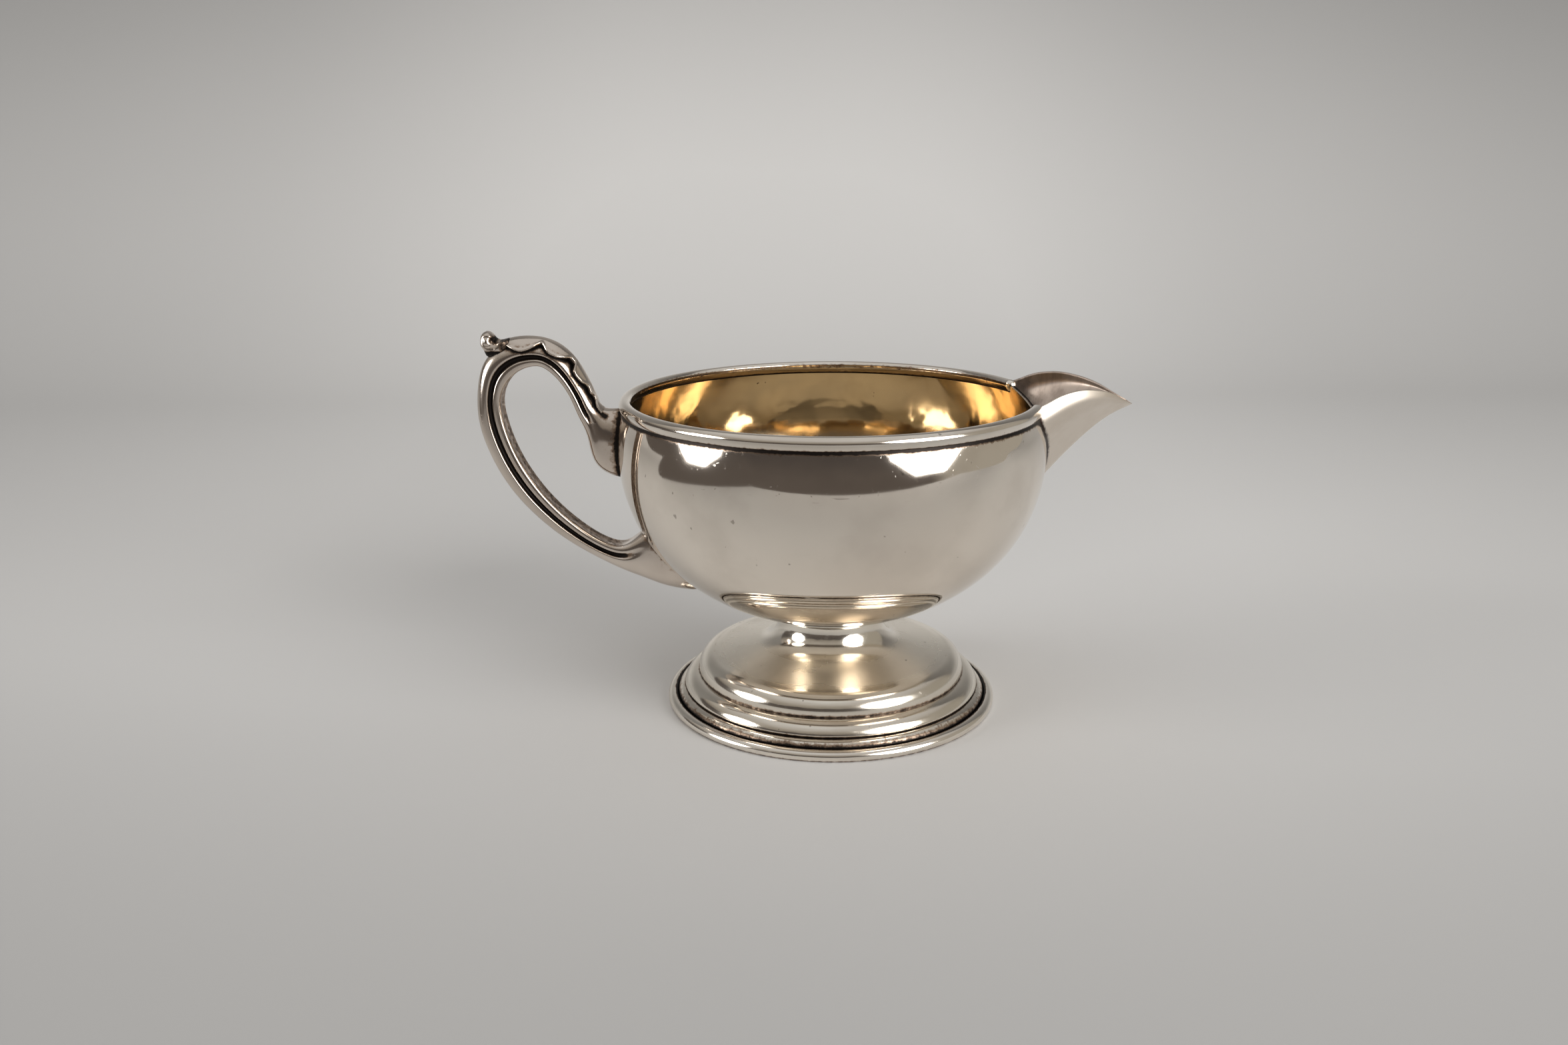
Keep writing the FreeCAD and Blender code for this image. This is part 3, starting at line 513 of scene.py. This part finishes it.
def spout_skin(rows=110, count=121):
    """both skins of the sheet, with tarnish and a mark on the inner skin"""
    root, tip = SPOUT[0, 0], SPOUT[-1, 0]
    shares = np.linspace(-1, 1, count)
    fine = np.linspace(root, tip, 1200)
    probe = spout_point(np.repeat(fine[:, None], count, 1), np.repeat(shares[None], 1200, 0))
    clear = np.hypot(probe[..., 0], probe[..., 1]) - (bowl_radius(probe[..., 2]) - 0.3)
    starts = np.array([fine[np.nonzero(clear[:, c] > 0)[0][0]] for c in range(count)])
    t = np.linspace(0, 1, rows)[:, None]
    reach = starts + (tip - starts) * (1 - (1 - t) ** 1.15)
    outer = spout_point(reach, np.repeat(shares[None], rows, 0))
    du = np.gradient(outer, axis=0)
    dv = np.gradient(outer, axis=1)
    n = np.cross(dv, du)
    n /= np.linalg.norm(n, axis=-1)[..., None] + 1e-9
    centre = outer.mean(axis=1, keepdims=True)
    flip = ((outer - centre) * n).sum(-1).mean() < 0
    n = -n if flip else n
    thick = 0.72 * (1 - 0.92 * smooth(reach, 62.5, tip))
    inner = outer - n * thick[..., None]
    # rounded lip between the two skins
    loop = [outer]
    for k, side in ((0.25, 0.16), (0.5, 0.24), (0.75, 0.16)):
        edge = outer[:, -1] * (1 - k) + inner[:, -1] * k
        edge[:, 2] += side * thick[:, -1] * 1.2
        loop.append(edge[:, None])
    loop.append(inner[:, ::-1])
    for k, side in ((0.75, 0.16), (0.5, 0.24), (0.25, 0.16)):
        edge = outer[:, 0] * (1 - k) + inner[:, 0] * k
        edge[:, 2] += side * thick[:, 0] * 1.2
        loop.append(edge[:, None])
    grid = np.concatenate(loop, axis=1)
    cols = grid.shape[1]
    faces = grid_faces(rows, cols, False, True, flip=True)
    verts = grid.reshape(-1, 3)
    verts = np.concatenate([verts, [grid[-1].mean(0)]])
    last = (rows - 1) * cols
    for c in range(cols):
        faces.append([rows * cols, last + (c + 1) % cols, last + c])
    # close the bowl end between the skins
    for c in range(count - 1):
        a, b = c, c + 1
        d, e = count + 3 + (count - 1 - c), count + 3 + (count - 2 - c)
        faces.append([a, b, e, d])
    near = np.hypot(grid[..., 0], grid[..., 1]) - bowl_radius(grid[..., 2])
    tarnish_and_shade_marks = 0.85 * np.exp(-np.maximum(near, 0) / 0.5)
    inside = np.zeros(cols)
    inside[count + 1:2 * count + 5] = 1.0
    tarnish_and_shade_marks = np.maximum(tarnish_and_shade_marks, inside[None] * 0.30 * np.exp(-np.maximum(near, 0) / 6.0))
    within = np.concatenate([np.repeat(inside[None], rows, 0).reshape(-1), [0]])
    return verts, faces, np.concatenate([tarnish_and_shade_marks.reshape(-1), [0]]), within


# ---------------------------------------------------------------- node materials


class Shader:
    """small helper around one material's node tree"""

    def __init__(self, name):
        self.material = bpy.data.materials.new(name)
        self.material.use_nodes = True
        self.tree = self.material.node_tree
        self.bsdf = self.tree.nodes["Principled BSDF"]
        self.place = self.add("ShaderNodeTexCoord").outputs["Object"]

    def add(self, kind, **settings):
        made = self.tree.nodes.new(kind)
        for key, value in settings.items():
            setattr(made, key, value)
        return made

    def put(self, socket, value):
        if hasattr(value, "is_output"):
            self.tree.links.new(value, socket)
        else:
            socket.default_value = value

    def math(self, what, a, b=0.0, c=0.0, clamp=False):
        made = self.add("ShaderNodeMath", operation=what, use_clamp=clamp)
        for socket, value in zip(made.inputs, (a, b, c)):
            self.put(socket, value)
        return made.outputs[0]

    def stretch(self, scale, turn=(0, 0, 0)):
        made = self.add("ShaderNodeMapping")
        self.put(made.inputs["Vector"], self.place)
        made.inputs["Scale"].default_value = scale
        made.inputs["Rotation"].default_value = turn
        return made.outputs[0]

    def noise(self, vector, scale, detail=3.0, rough=0.5, distortion=0.0):
        made = self.add("ShaderNodeTexNoise")
        self.put(made.inputs["Vector"], vector)
        made.inputs["Scale"].default_value = scale
        made.inputs["Detail"].default_value = detail
        made.inputs["Roughness"].default_value = rough
        made.inputs["Distortion"].default_value = distortion
        return made.outputs["Fac"]

    def level(self, value, low, high, to_low=0.0, to_high=1.0):
        """eased from to_low at low to to_high at high"""
        made = self.add("ShaderNodeMapRange", interpolation_type="SMOOTHSTEP")
        for socket, number in zip(made.inputs, (value, low, high, to_low, to_high)):
            self.put(socket, number)
        return made.outputs[0]

    def mix(self, factor, a, b):
        made = self.add("ShaderNodeMix", data_type="RGBA")
        self.put(made.inputs["Factor"], factor)
        self.put([s for s in made.inputs if s.name == "A" and s.type == "RGBA"][0], a)
        self.put([s for s in made.inputs if s.name == "B" and s.type == "RGBA"][0], b)
        return [s for s in made.outputs if s.type == "RGBA"][0]

    def attribute(self, name):
        return self.add("ShaderNodeAttribute", attribute_name=name).outputs["Fac"]

    def bump(self, height, distance, base=None):
        made = self.add("ShaderNodeBump")
        made.inputs["Strength"].default_value = 1.0
        made.inputs["Distance"].default_value = distance
        self.put(made.inputs["Height"], height)
        if base is not None:
            self.put(made.inputs["Normal"], base)
        return made.outputs[0]

    def around(self):
        """(distance from the axis, height, 0): patterns that run round the axis"""
        split = self.add("ShaderNodeSeparateXYZ")
        self.put(split.inputs[0], self.place)
        x, y, z = split.outputs
        squares = self.math("ADD", self.math("MULTIPLY", x, x), self.math("MULTIPLY", y, y))
        r = self.math("SQRT", squares)
        join = self.add("ShaderNodeCombineXYZ")
        self.put(join.inputs[0], r)
        self.put(join.inputs[1], z)
        return join.outputs[0]


def rgb(r, g, b):
    return (r, g, b, 1.0)


def silver(name, tint, shade, rough, haze, spun=0.0, wobble=0.00002):
    """worn polished silver: clouded tone, hairline scratches, pits, and tarnish and painted shade
    where the darkening attribute says
    """
    s = Shader(name)
    cloud = s.noise(s.place, 55.0, 4.0, 0.55)
    broad = s.noise(s.place, 22.0, 2.0, 0.5, 0.6)
    hair = s.noise(s.stretch((90.0, 1400.0, 900.0), (0.3, 0.5, 0.2)), 1.0, 2.0, 0.6)
    cross_hair = s.noise(s.stretch((1300.0, 110.0, 800.0), (0.1, -0.4, 0.7)), 1.0, 2.0, 0.6)
    lines = s.math("MAXIMUM", s.level(hair, 0.66, 0.74), s.level(cross_hair, 0.68, 0.76))
    pits = s.level(s.noise(s.place, 420.0, 2.0, 0.5), 0.735, 0.775)
    # tarnish and painted shade: the darkening attribute, broken up by noise
    patch = s.noise(s.place, 900.0, 4.0, 0.65)
    tarnish_and_shade_level = s.math("MULTIPLY_ADD", s.attribute("tarnish_and_painted_shade"), 1.5, s.math("MULTIPLY", patch, 0.9))
    tarnish_and_shade_level = s.level(tarnish_and_shade_level, 0.62, 1.25)
    tone = s.mix(s.level(broad, 0.35, 0.7), rgb(*tint), rgb(*shade))
    clouded = s.math("MULTIPLY", s.level(cloud, 0.42, 0.7), 0.55)
    tone = s.mix(clouded, tone, rgb(*(c * 0.88 for c in shade)))
    tone = s.mix(s.math("MULTIPLY", pits, 0.5), tone, rgb(0.16, 0.13, 0.10))
    warm = s.mix(s.level(tarnish_and_shade_level, 0.0, 0.45), tone, rgb(0.36, 0.26, 0.19))
    tone = s.mix(s.level(tarnish_and_shade_level, 0.3, 1.0), warm, rgb(0.022, 0.018, 0.016))
    s.put(s.bsdf.inputs["Base Color"], tone)
    s.bsdf.inputs["Metallic"].default_value = 1.0
    blur = s.level(cloud, 0.35, 0.75, rough, rough + haze)
    blur = s.math("MULTIPLY_ADD", lines, 0.10, blur)
    blur = s.math("MULTIPLY_ADD", s.attribute("inside"), 0.16, blur)
    blur = s.math("MULTIPLY_ADD", tarnish_and_shade_level, 0.35, blur, clamp=True)
    s.put(s.bsdf.inputs["Roughness"], blur)
    wave = s.bump(s.noise(s.place, 130.0, 2.0, 0.4), wobble)
    if spun:
        rings = s.noise(s.around(), 900.0, 2.0, 0.5)
        wave = s.bump(rings, spun, wave)
    wave = s.bump(lines, -0.000004, wave)
    s.put(s.bsdf.inputs["Normal"], wave)
    return s.material


def gilt():
    """worn gold wash: amber to olive, burnished swirls, dark spots"""
    s = Shader("gilt_wash")
    broad = s.noise(s.place, 30.0, 3.0, 0.55, 0.8)
    fine = s.noise(s.place, 160.0, 4.0, 0.6)
    swirl = s.noise(s.around(), 140.0, 3.0, 0.6)
    spots = s.level(s.noise(s.place, 520.0, 3.0, 0.55), 0.68, 0.74)
    where = s.level(s.noise(s.place, 38.0, 1.0, 0.5), 0.52, 0.66)
    tone = s.mix(s.level(broad, 0.3, 0.7), rgb(0.74, 0.60, 0.405), rgb(0.62, 0.51, 0.355))
    tone = s.mix(s.math("MULTIPLY", s.level(fine, 0.5, 0.8), 0.4), tone, rgb(0.52, 0.41, 0.27))
    tarnish_and_shade_level = s.math("MAXIMUM", s.math("MULTIPLY", spots, where),
                  s.math("MULTIPLY", s.attribute("tarnish_and_painted_shade"), 0.8))
    tone = s.mix(tarnish_and_shade_level, tone, rgb(0.07, 0.045, 0.025))
    s.put(s.bsdf.inputs["Base Color"], tone)
    s.bsdf.inputs["Metallic"].default_value = 1.0
    blur = s.level(swirl, 0.3, 0.7, 0.06, 0.15)
    s.put(s.bsdf.inputs["Roughness"], s.math("MULTIPLY_ADD", tarnish_and_shade_level, 0.3, blur, clamp=True))
    wave = s.bump(s.noise(s.place, 105.0, 1.5, 0.4, 0.5), 0.00024)
    s.put(s.bsdf.inputs["Normal"], s.bump(swirl, 0.000012, wave))
    return s.material


def satin():
    """sheet silver of the spout: warm grey, brushed, browner and scratched inside"""
    s = Shader("spout_sheet")
    cloud = s.noise(s.place, 70.0, 4.0, 0.6)
    strokes = s.noise(s.stretch((500.0, 500.0, 45.0)), 1.0, 3.0, 0.6)
    inside = s.attribute("inside")
    spots = s.level(s.noise(s.place, 480.0, 2.0, 0.5), 0.70, 0.76)
    out_tone = s.mix(s.level(cloud, 0.35, 0.7), rgb(0.80, 0.72, 0.63), rgb(0.72, 0.64, 0.55))
    in_tone = s.mix(s.level(strokes, 0.4, 0.7), rgb(0.62, 0.52, 0.45), rgb(0.46, 0.375, 0.32))
    tone = s.mix(inside, out_tone, in_tone)
    tarnish_and_shade_level = s.math("MULTIPLY_ADD", s.attribute("tarnish_and_painted_shade"), 1.5,
                  s.math("MULTIPLY", s.noise(s.place, 900.0, 3.0, 0.6), 0.8))
    tarnish_and_shade_level = s.level(tarnish_and_shade_level, 0.6, 1.25)
    tarnish_and_shade_level = s.math("MAXIMUM", tarnish_and_shade_level, s.math("MULTIPLY", spots, s.math("MULTIPLY", inside, 0.6)))
    tone = s.mix(tarnish_and_shade_level, tone, rgb(0.05, 0.035, 0.03))
    s.put(s.bsdf.inputs["Base Color"], tone)
    s.bsdf.inputs["Metallic"].default_value = 1.0
    s.put(s.bsdf.inputs["Roughness"], s.level(cloud, 0.3, 0.7, 0.30, 0.40))
    wave = s.bump(cloud, 0.00003)
    s.put(s.bsdf.inputs["Normal"], s.bump(strokes, 0.000008, wave))
    return s.material


# ---------------------------------------------------------------- the pieces


def bowl_tarnish_and_shade(verts):
    """tarnish on the bowl round the handle's two seats and the spout's seam, and painted shade
    with tarnish under the rim wire's overhang
    """
    x, y, z = verts.T
    # painted shade with tarnish: a dark band just under the rim wire's overhang
    rim = np.exp(-np.maximum(72.1 - z, 0) / 0.42) * 1.35
    top = np.hypot(y / 5.0, (z - 64.0) / 8.6) - 1.0
    low = np.hypot(y / 4.4, (z - 35.0) / 8.2) - 1.0
    back = x < 0
    seat = np.where(back, np.exp(-np.maximum(top * 5.0, 0) / 0.5), 0)
    seat = np.maximum(seat, np.where(back, np.exp(-np.maximum(low * 5.0, 0) / 0.5), 0))
    edge_y = np.interp(z, [56.5, 60.0, 65.5, 68.5, 70.5, 71.6, 72.3],
                       [0.0, 4.4, 9.9, 14.1, 17.7, 20.6, 22.7])
    gap = np.abs(y) - edge_y
    seam = np.where((x > 0) & (z > 55.5), np.exp(-np.maximum(gap, 0) / 0.7) * 0.75, 0)
    seam = np.where((x > 0) & (z > 54.9) & (np.abs(y) < 1.5), np.maximum(seam, 0.4), seam)
    inside = np.hypot(x, y) < bowl_radius(z) - 0.5
    tarnish_and_shade_marks = np.maximum(np.maximum(rim, seat * 0.8), seam)
    return np.where(inside, 0.0, tarnish_and_shade_marks)


bowl_silver = silver("bowl_silver", (0.895, 0.825, 0.735), (0.81, 0.73, 0.64), 0.045, 0.045,
                     spun=0.000002, wobble=0.000012)
verts, faces = bowl_shell(0.0, WALL)
build("bowl_skin", verts, faces, bowl_silver, ["bowl"], bowl_tarnish_and_shade(verts), 40)

verts, faces = bowl_shell(WALL, WALL + GILT)
tarnish_and_shade_marks = np.exp(-np.maximum(73.3 - verts[:, 2], 0) / 0.5) * 0.5
build("gilt_skin", verts, faces, gilt(), ["gilt_lining"], tarnish_and_shade_marks, 40)

# rim wire: the section rides round from one side of the spout to the other, ends rounded
rim_line = outline([(46.5, 73.7), (47.6, 72.0), (48.6, 72.0), (49.4, 73.8), (47.05, 75.0),
                    (46.5, 74.5)], {2: 2.6, 3: 1.62}, 0.14)
first, last = math.radians(18.6), math.radians(341.4)
nose, shoulder = 0.030, 0.036  # radians that a rounded end takes up
ease = np.sin(np.linspace(0, math.pi / 2, 12)) * nose
angles = np.concatenate([first + (nose - ease[::-1]),
                         np.linspace(first + shoulder, last - shoulder, 520),
                         last - nose + ease])
into = np.minimum(angles - first, last - angles) / nose
size = np.sqrt(np.clip(1 - (1 - np.clip(into, 0, 1)) ** 2, 0.0004, 1))
heart = np.array([48.1, 73.7])
grid = np.stack([ring_grid(heart + (rim_line - heart) * k, np.array([a]))[:, 0]
                 for a, k in zip(angles, size)])
rows, cols = grid.shape[:2]
faces = grid_faces(rows, cols, False, True)
faces.append(list(range(cols)))
faces.append([(rows - 1) * cols + c for c in range(cols)][::-1])
flat = grid.reshape(-1, 3)
# painted shade with tarnish on the wire's underside over the bowl, and a fainter dark line along
# its inner edge
tarnish_and_shade_marks = np.exp(-np.maximum(flat[:, 2] - 72.0, 0) / 0.30)
tarnish_and_shade_marks = np.maximum(tarnish_and_shade_marks, 0.25 * np.exp(-np.abs(np.hypot(flat[:, 0], flat[:, 1]) - 46.5) / 0.3))
rim_silver = silver("rim_silver", (0.88, 0.82, 0.74), (0.80, 0.73, 0.64), 0.07, 0.05)
build("rim_skin", flat, faces, rim_silver, ["rim_wire"], tarnish_and_shade_marks)

# foot: neck, cone and three rolls, with dark lines in the creases
foot_corners = [
    (12.78, 22.62), (12.5, 20.8), (17.962, 14.174), (28.4, 12.145), (32.25, 8.0), (32.25, 7.3),
    (35.85, 4.45), (35.5, 3.9), (37.5, 2.4), (37.2, 1.6), (37.2, 0.4), (36.3, 0.4), (36.3, 1.33),
    (34.51, 3.09), (31.26, 6.31), (31.26, 7.55), (28.04, 11.155), (17.782, 13.274), (11.6, 20.8),
    (11.88, 22.5),
]
foot_bends = {0: 8.0, 1: 6.75, 3: -4.15, 5: -3.7, 7: -2.1, 17: -7.65}
foot_line = outline(foot_corners, foot_bends, 0.16)
verts, faces = lathe(foot_line)
r, z = np.hypot(verts[:, 0], verts[:, 1]), verts[:, 2]
tarnish_and_shade_marks = np.zeros(len(verts))
creases = [  # radius, height, how far the tarnish reaches, how strong it is
    (28.35, 12.2, 0.2, 0.2), (32.25, 7.5, 0.28, 0.46), (35.55, 4.0, 0.36, 0.62),
    (37.2, 1.45, 0.9, 1.6), (12.6, 22.1, 0.3, 0.5),
]
for cr, cz, reach, gain in creases:
    tarnish_and_shade_marks = np.maximum(tarnish_and_shade_marks, gain * np.exp(-np.maximum(np.hypot(r - cr, z - cz) - 0.1, 0) / reach))
foot_silver = silver("foot_silver", (0.885, 0.83, 0.735), (0.80, 0.735, 0.64), 0.10, 0.09,
                     spun=0.000004)
cone = smooth(-r, -28.2, -26.5) * smooth(r, 14.0, 18.0)
build("foot_skin", verts, faces, foot_silver, ["foot"], tarnish_and_shade_marks, None, cone)

ring_line = outline([(37.2, 0.0), (39.3, 0.0), (40.0, 1.15), (37.2, 1.6)],
                    {1: 1.3, 2: 1.45}, 0.12)
verts, faces = lathe(ring_line)
r = np.hypot(verts[:, 0], verts[:, 1])
tarnish_and_shade_marks = np.where(verts[:, 2] > 0.5, 1.6 * np.exp(-np.maximum(r - 37.75, 0) / 0.30), 0.3)
ring_silver = silver("ring_silver", (0.90, 0.85, 0.77), (0.82, 0.76, 0.68), 0.12, 0.06)
build("ring_skin", verts, faces, ring_silver, ["foot_ring"], tarnish_and_shade_marks)

verts, faces, tarnish_and_shade_marks, within = spout_skin()
build("spout_skin", verts, faces, satin(), ["spout"], tarnish_and_shade_marks, None, within)

handle_silver = silver("handle_silver", (0.76, 0.68, 0.605), (0.64, 0.555, 0.48), 0.12, 0.09,
                       wobble=0.00003)
verts, faces, tarnish_and_shade_marks = handle_skin()
build("handle_skin", verts, faces, handle_silver,
      ["handle_left_half", "handle_right_half"], tarnish_and_shade_marks)

leaf_silver = silver("leaf_silver", (0.77, 0.69, 0.61), (0.66, 0.57, 0.495), 0.12, 0.09,
                     wobble=0.00003)
verts, faces, tarnish_and_shade_marks = leaf_skin()
build("leaf_skin", verts, faces, leaf_silver, ["thumb_leaf"], tarnish_and_shade_marks)
verts, faces, tarnish_and_shade_marks = scroll_skin()
build("scroll_skin", verts, faces, leaf_silver, ["thumb_leaf"], tarnish_and_shade_marks)

# ---------------------------------------------------------------- sweep, soft boxes, room
bend_start, bend, columns = 0.40, 0.45, 40
rows = [(-0.385, -0.16), (-0.384, -0.03), (-0.380, -0.016), (-0.372, -0.006), (-0.36, 0.0)]
rows += [(y, 0.0) for y in np.linspace(-0.34, bend_start, 38)]
rows += [(bend_start + bend * math.sin(t), bend - bend * math.cos(t))
         for t in np.linspace(0.05, math.pi / 2, 30)]
rows += [(bend_start + bend, z) for z in np.linspace(0.5, 1.5, 10)]
grid = []
for y, z in rows:
    wide = float(smooth(y, 0.02, 0.24))
    left, right = -0.32 - 1.1 * wide, 0.75 + 0.6 * wide
    grid.append([(x, y, z) for x in np.linspace(left, right, columns)])
flat = np.array(grid).reshape(-1, 3) / MM
paper = Shader("sweep_paper")
split = paper.add("ShaderNodeSeparateXYZ")
paper.put(split.inputs[0], paper.place)
tone = paper.noise(paper.place, 3.0, 2.0, 0.5)
x, y, z = split.outputs
# painted light falloff and vignette: the paper's colour is darker towards the front, up the sweep
# and out to both sides
painted_falloff = paper.level(y, -0.17, 0.10, 0.62, 1.0)
for part in (paper.level(z, 0.04, 0.40, 1.04, 0.58),
             paper.level(paper.math("ABSOLUTE", x), 0.10, 0.70, 1.0, 0.72),
             paper.level(x, -0.40, -0.06, 0.87, 1.0), paper.level(x, 0.04, 0.34, 1.0, 0.85)):
    painted_falloff = paper.math("MULTIPLY", painted_falloff, part)
paper.put(paper.bsdf.inputs["Base Color"], paper.mix(paper.math("MULTIPLY_ADD", tone, 0.02, painted_falloff),
          rgb(0.0, 0.0, 0.0), rgb(0.69, 0.686, 0.68)))
paper.bsdf.inputs["Roughness"].default_value = 0.9
paper.bsdf.inputs["Specular IOR Level"].default_value = 0.1


def staged(name, verts, faces, material):
    """a piece of the studio"""
    mesh = bpy.data.meshes.new(name)
    mesh.from_pydata((np.asarray(verts) * MM).tolist(), [], faces)
    mesh.polygons.foreach_set("use_smooth", [True] * len(mesh.polygons))
    mesh.materials.append(material)
    piece = bpy.data.objects.new(name, mesh)
    bpy.context.scene.collection.objects.link(piece)


staged("sweep", flat, grid_faces(len(rows), columns, False, False), paper.material)


def soft_box(name, centre, strength, across=1.1, look=(0.0, 0.0, 0.045)):
    """octagonal emitter facing the jug; metres"""
    centre, look = Vector(centre), Vector(look)
    away = (look - centre).normalized()
    right = away.cross(Vector((0, 0, 1))).normalized()
    up = right.cross(away)
    corners = [centre + (right * math.cos(t) + up * math.sin(t)) * across / 2
               for t in (math.radians(22.5 + 45 * k) for k in range(8))]
    glow = bpy.data.materials.new(name)
    glow.use_nodes = True
    glow.node_tree.nodes.clear()
    out = glow.node_tree.nodes.new("ShaderNodeOutputMaterial")
    light = glow.node_tree.nodes.new("ShaderNodeEmission")
    light.inputs["Color"].default_value = (1.0, 0.985, 0.965, 1.0)
    light.inputs["Strength"].default_value = strength
    glow.node_tree.links.new(light.outputs[0], out.inputs[0])
    staged(name, np.array([tuple(c) for c in corners]) / MM, [list(range(8))], glow)


soft_box("soft_box_right", (0.956, -0.891, 0.50), 7.0)
soft_box("soft_box_left", (-1.913, -0.513, 0.53), 8.0)

world = bpy.data.worlds.new("studio")
bpy.context.scene.world = world
world.use_nodes = True
tree = world.node_tree
tree.nodes.clear()


def world_node(kind, **settings):
    made = tree.nodes.new(kind)
    for key, value in settings.items():
        setattr(made, key, value)
    return made


sky = world_node("ShaderNodeTexCoord").outputs["Generated"]
split = world_node("ShaderNodeSeparateXYZ")
tree.links.new(sky, split.inputs[0])
shapes = world_node("ShaderNodeTexNoise")
shapes.inputs["Scale"].default_value = 5.0
shapes.inputs["Detail"].default_value = 2.0
tree.links.new(sky, shapes.inputs["Vector"])
lift = world_node("ShaderNodeMath", operation="MULTIPLY_ADD")
tree.links.new(shapes.outputs["Fac"], lift.inputs[0])
lift.inputs[1].default_value = 0.22
tree.links.new(split.outputs["Z"], lift.inputs[2])
ramp = world_node("ShaderNodeValToRGB")
stops = [(0.10, (0.105, 0.09, 0.08)), (0.36, (0.075, 0.066, 0.062)),
         (0.43, (0.25, 0.225, 0.195)), (0.65, (0.38, 0.355, 0.32)),
         (1.0, (0.60, 0.595, 0.59))]
for k, (where, tone) in enumerate(stops):
    stop = ramp.color_ramp.elements[k] if k < 2 else ramp.color_ramp.elements.new(where)
    stop.position = where
    stop.color = rgb(*tone)
tree.links.new(lift.outputs[0], ramp.inputs[0])
side = world_node("ShaderNodeMapRange", interpolation_type="SMOOTHSTEP")
tree.links.new(split.outputs["X"], side.inputs[0])
side.inputs[1].default_value, side.inputs[2].default_value = 0.74, 0.88
both = world_node("ShaderNodeMix", data_type="RGBA")
tree.links.new(side.outputs[0], both.inputs["Factor"])
room_tone, right_tone = [k for k in both.inputs if k.type == "RGBA"]
tree.links.new(ramp.outputs[0], room_tone)
right_tone.default_value = rgb(0.36, 0.335, 0.29)
back = world_node("ShaderNodeBackground")
out = world_node("ShaderNodeOutputWorld")
tree.links.new([k for k in both.outputs if k.type == "RGBA"][0], back.inputs[0])
tree.links.new(back.outputs[0], out.inputs[0])

# ---------------------------------------------------------------- camera
lens = bpy.data.cameras.new("camera")
lens.lens = 30.612
lens.sensor_width = 36.0
lens.sensor_fit = "HORIZONTAL"
lens.clip_start = 0.01
view = bpy.data.objects.new("camera", lens)
bpy.context.scene.collection.objects.link(view)
right = (0.99982306, -0.01769598, -0.0063791)
up = (0.01097691, 0.27347763, 0.96181573)
ahead = (0.01527573, 0.96171557, -0.27362349)
view.matrix_world = Matrix((
    (right[0], up[0], -ahead[0], -0.016109),
    (right[1], up[1], -ahead[1], -0.307378),
    (right[2], up[2], -ahead[2], 0.1314),
    (0, 0, 0, 1),
))
bpy.context.scene.camera = view
bpy.context.scene.view_settings.view_transform = "Standard"
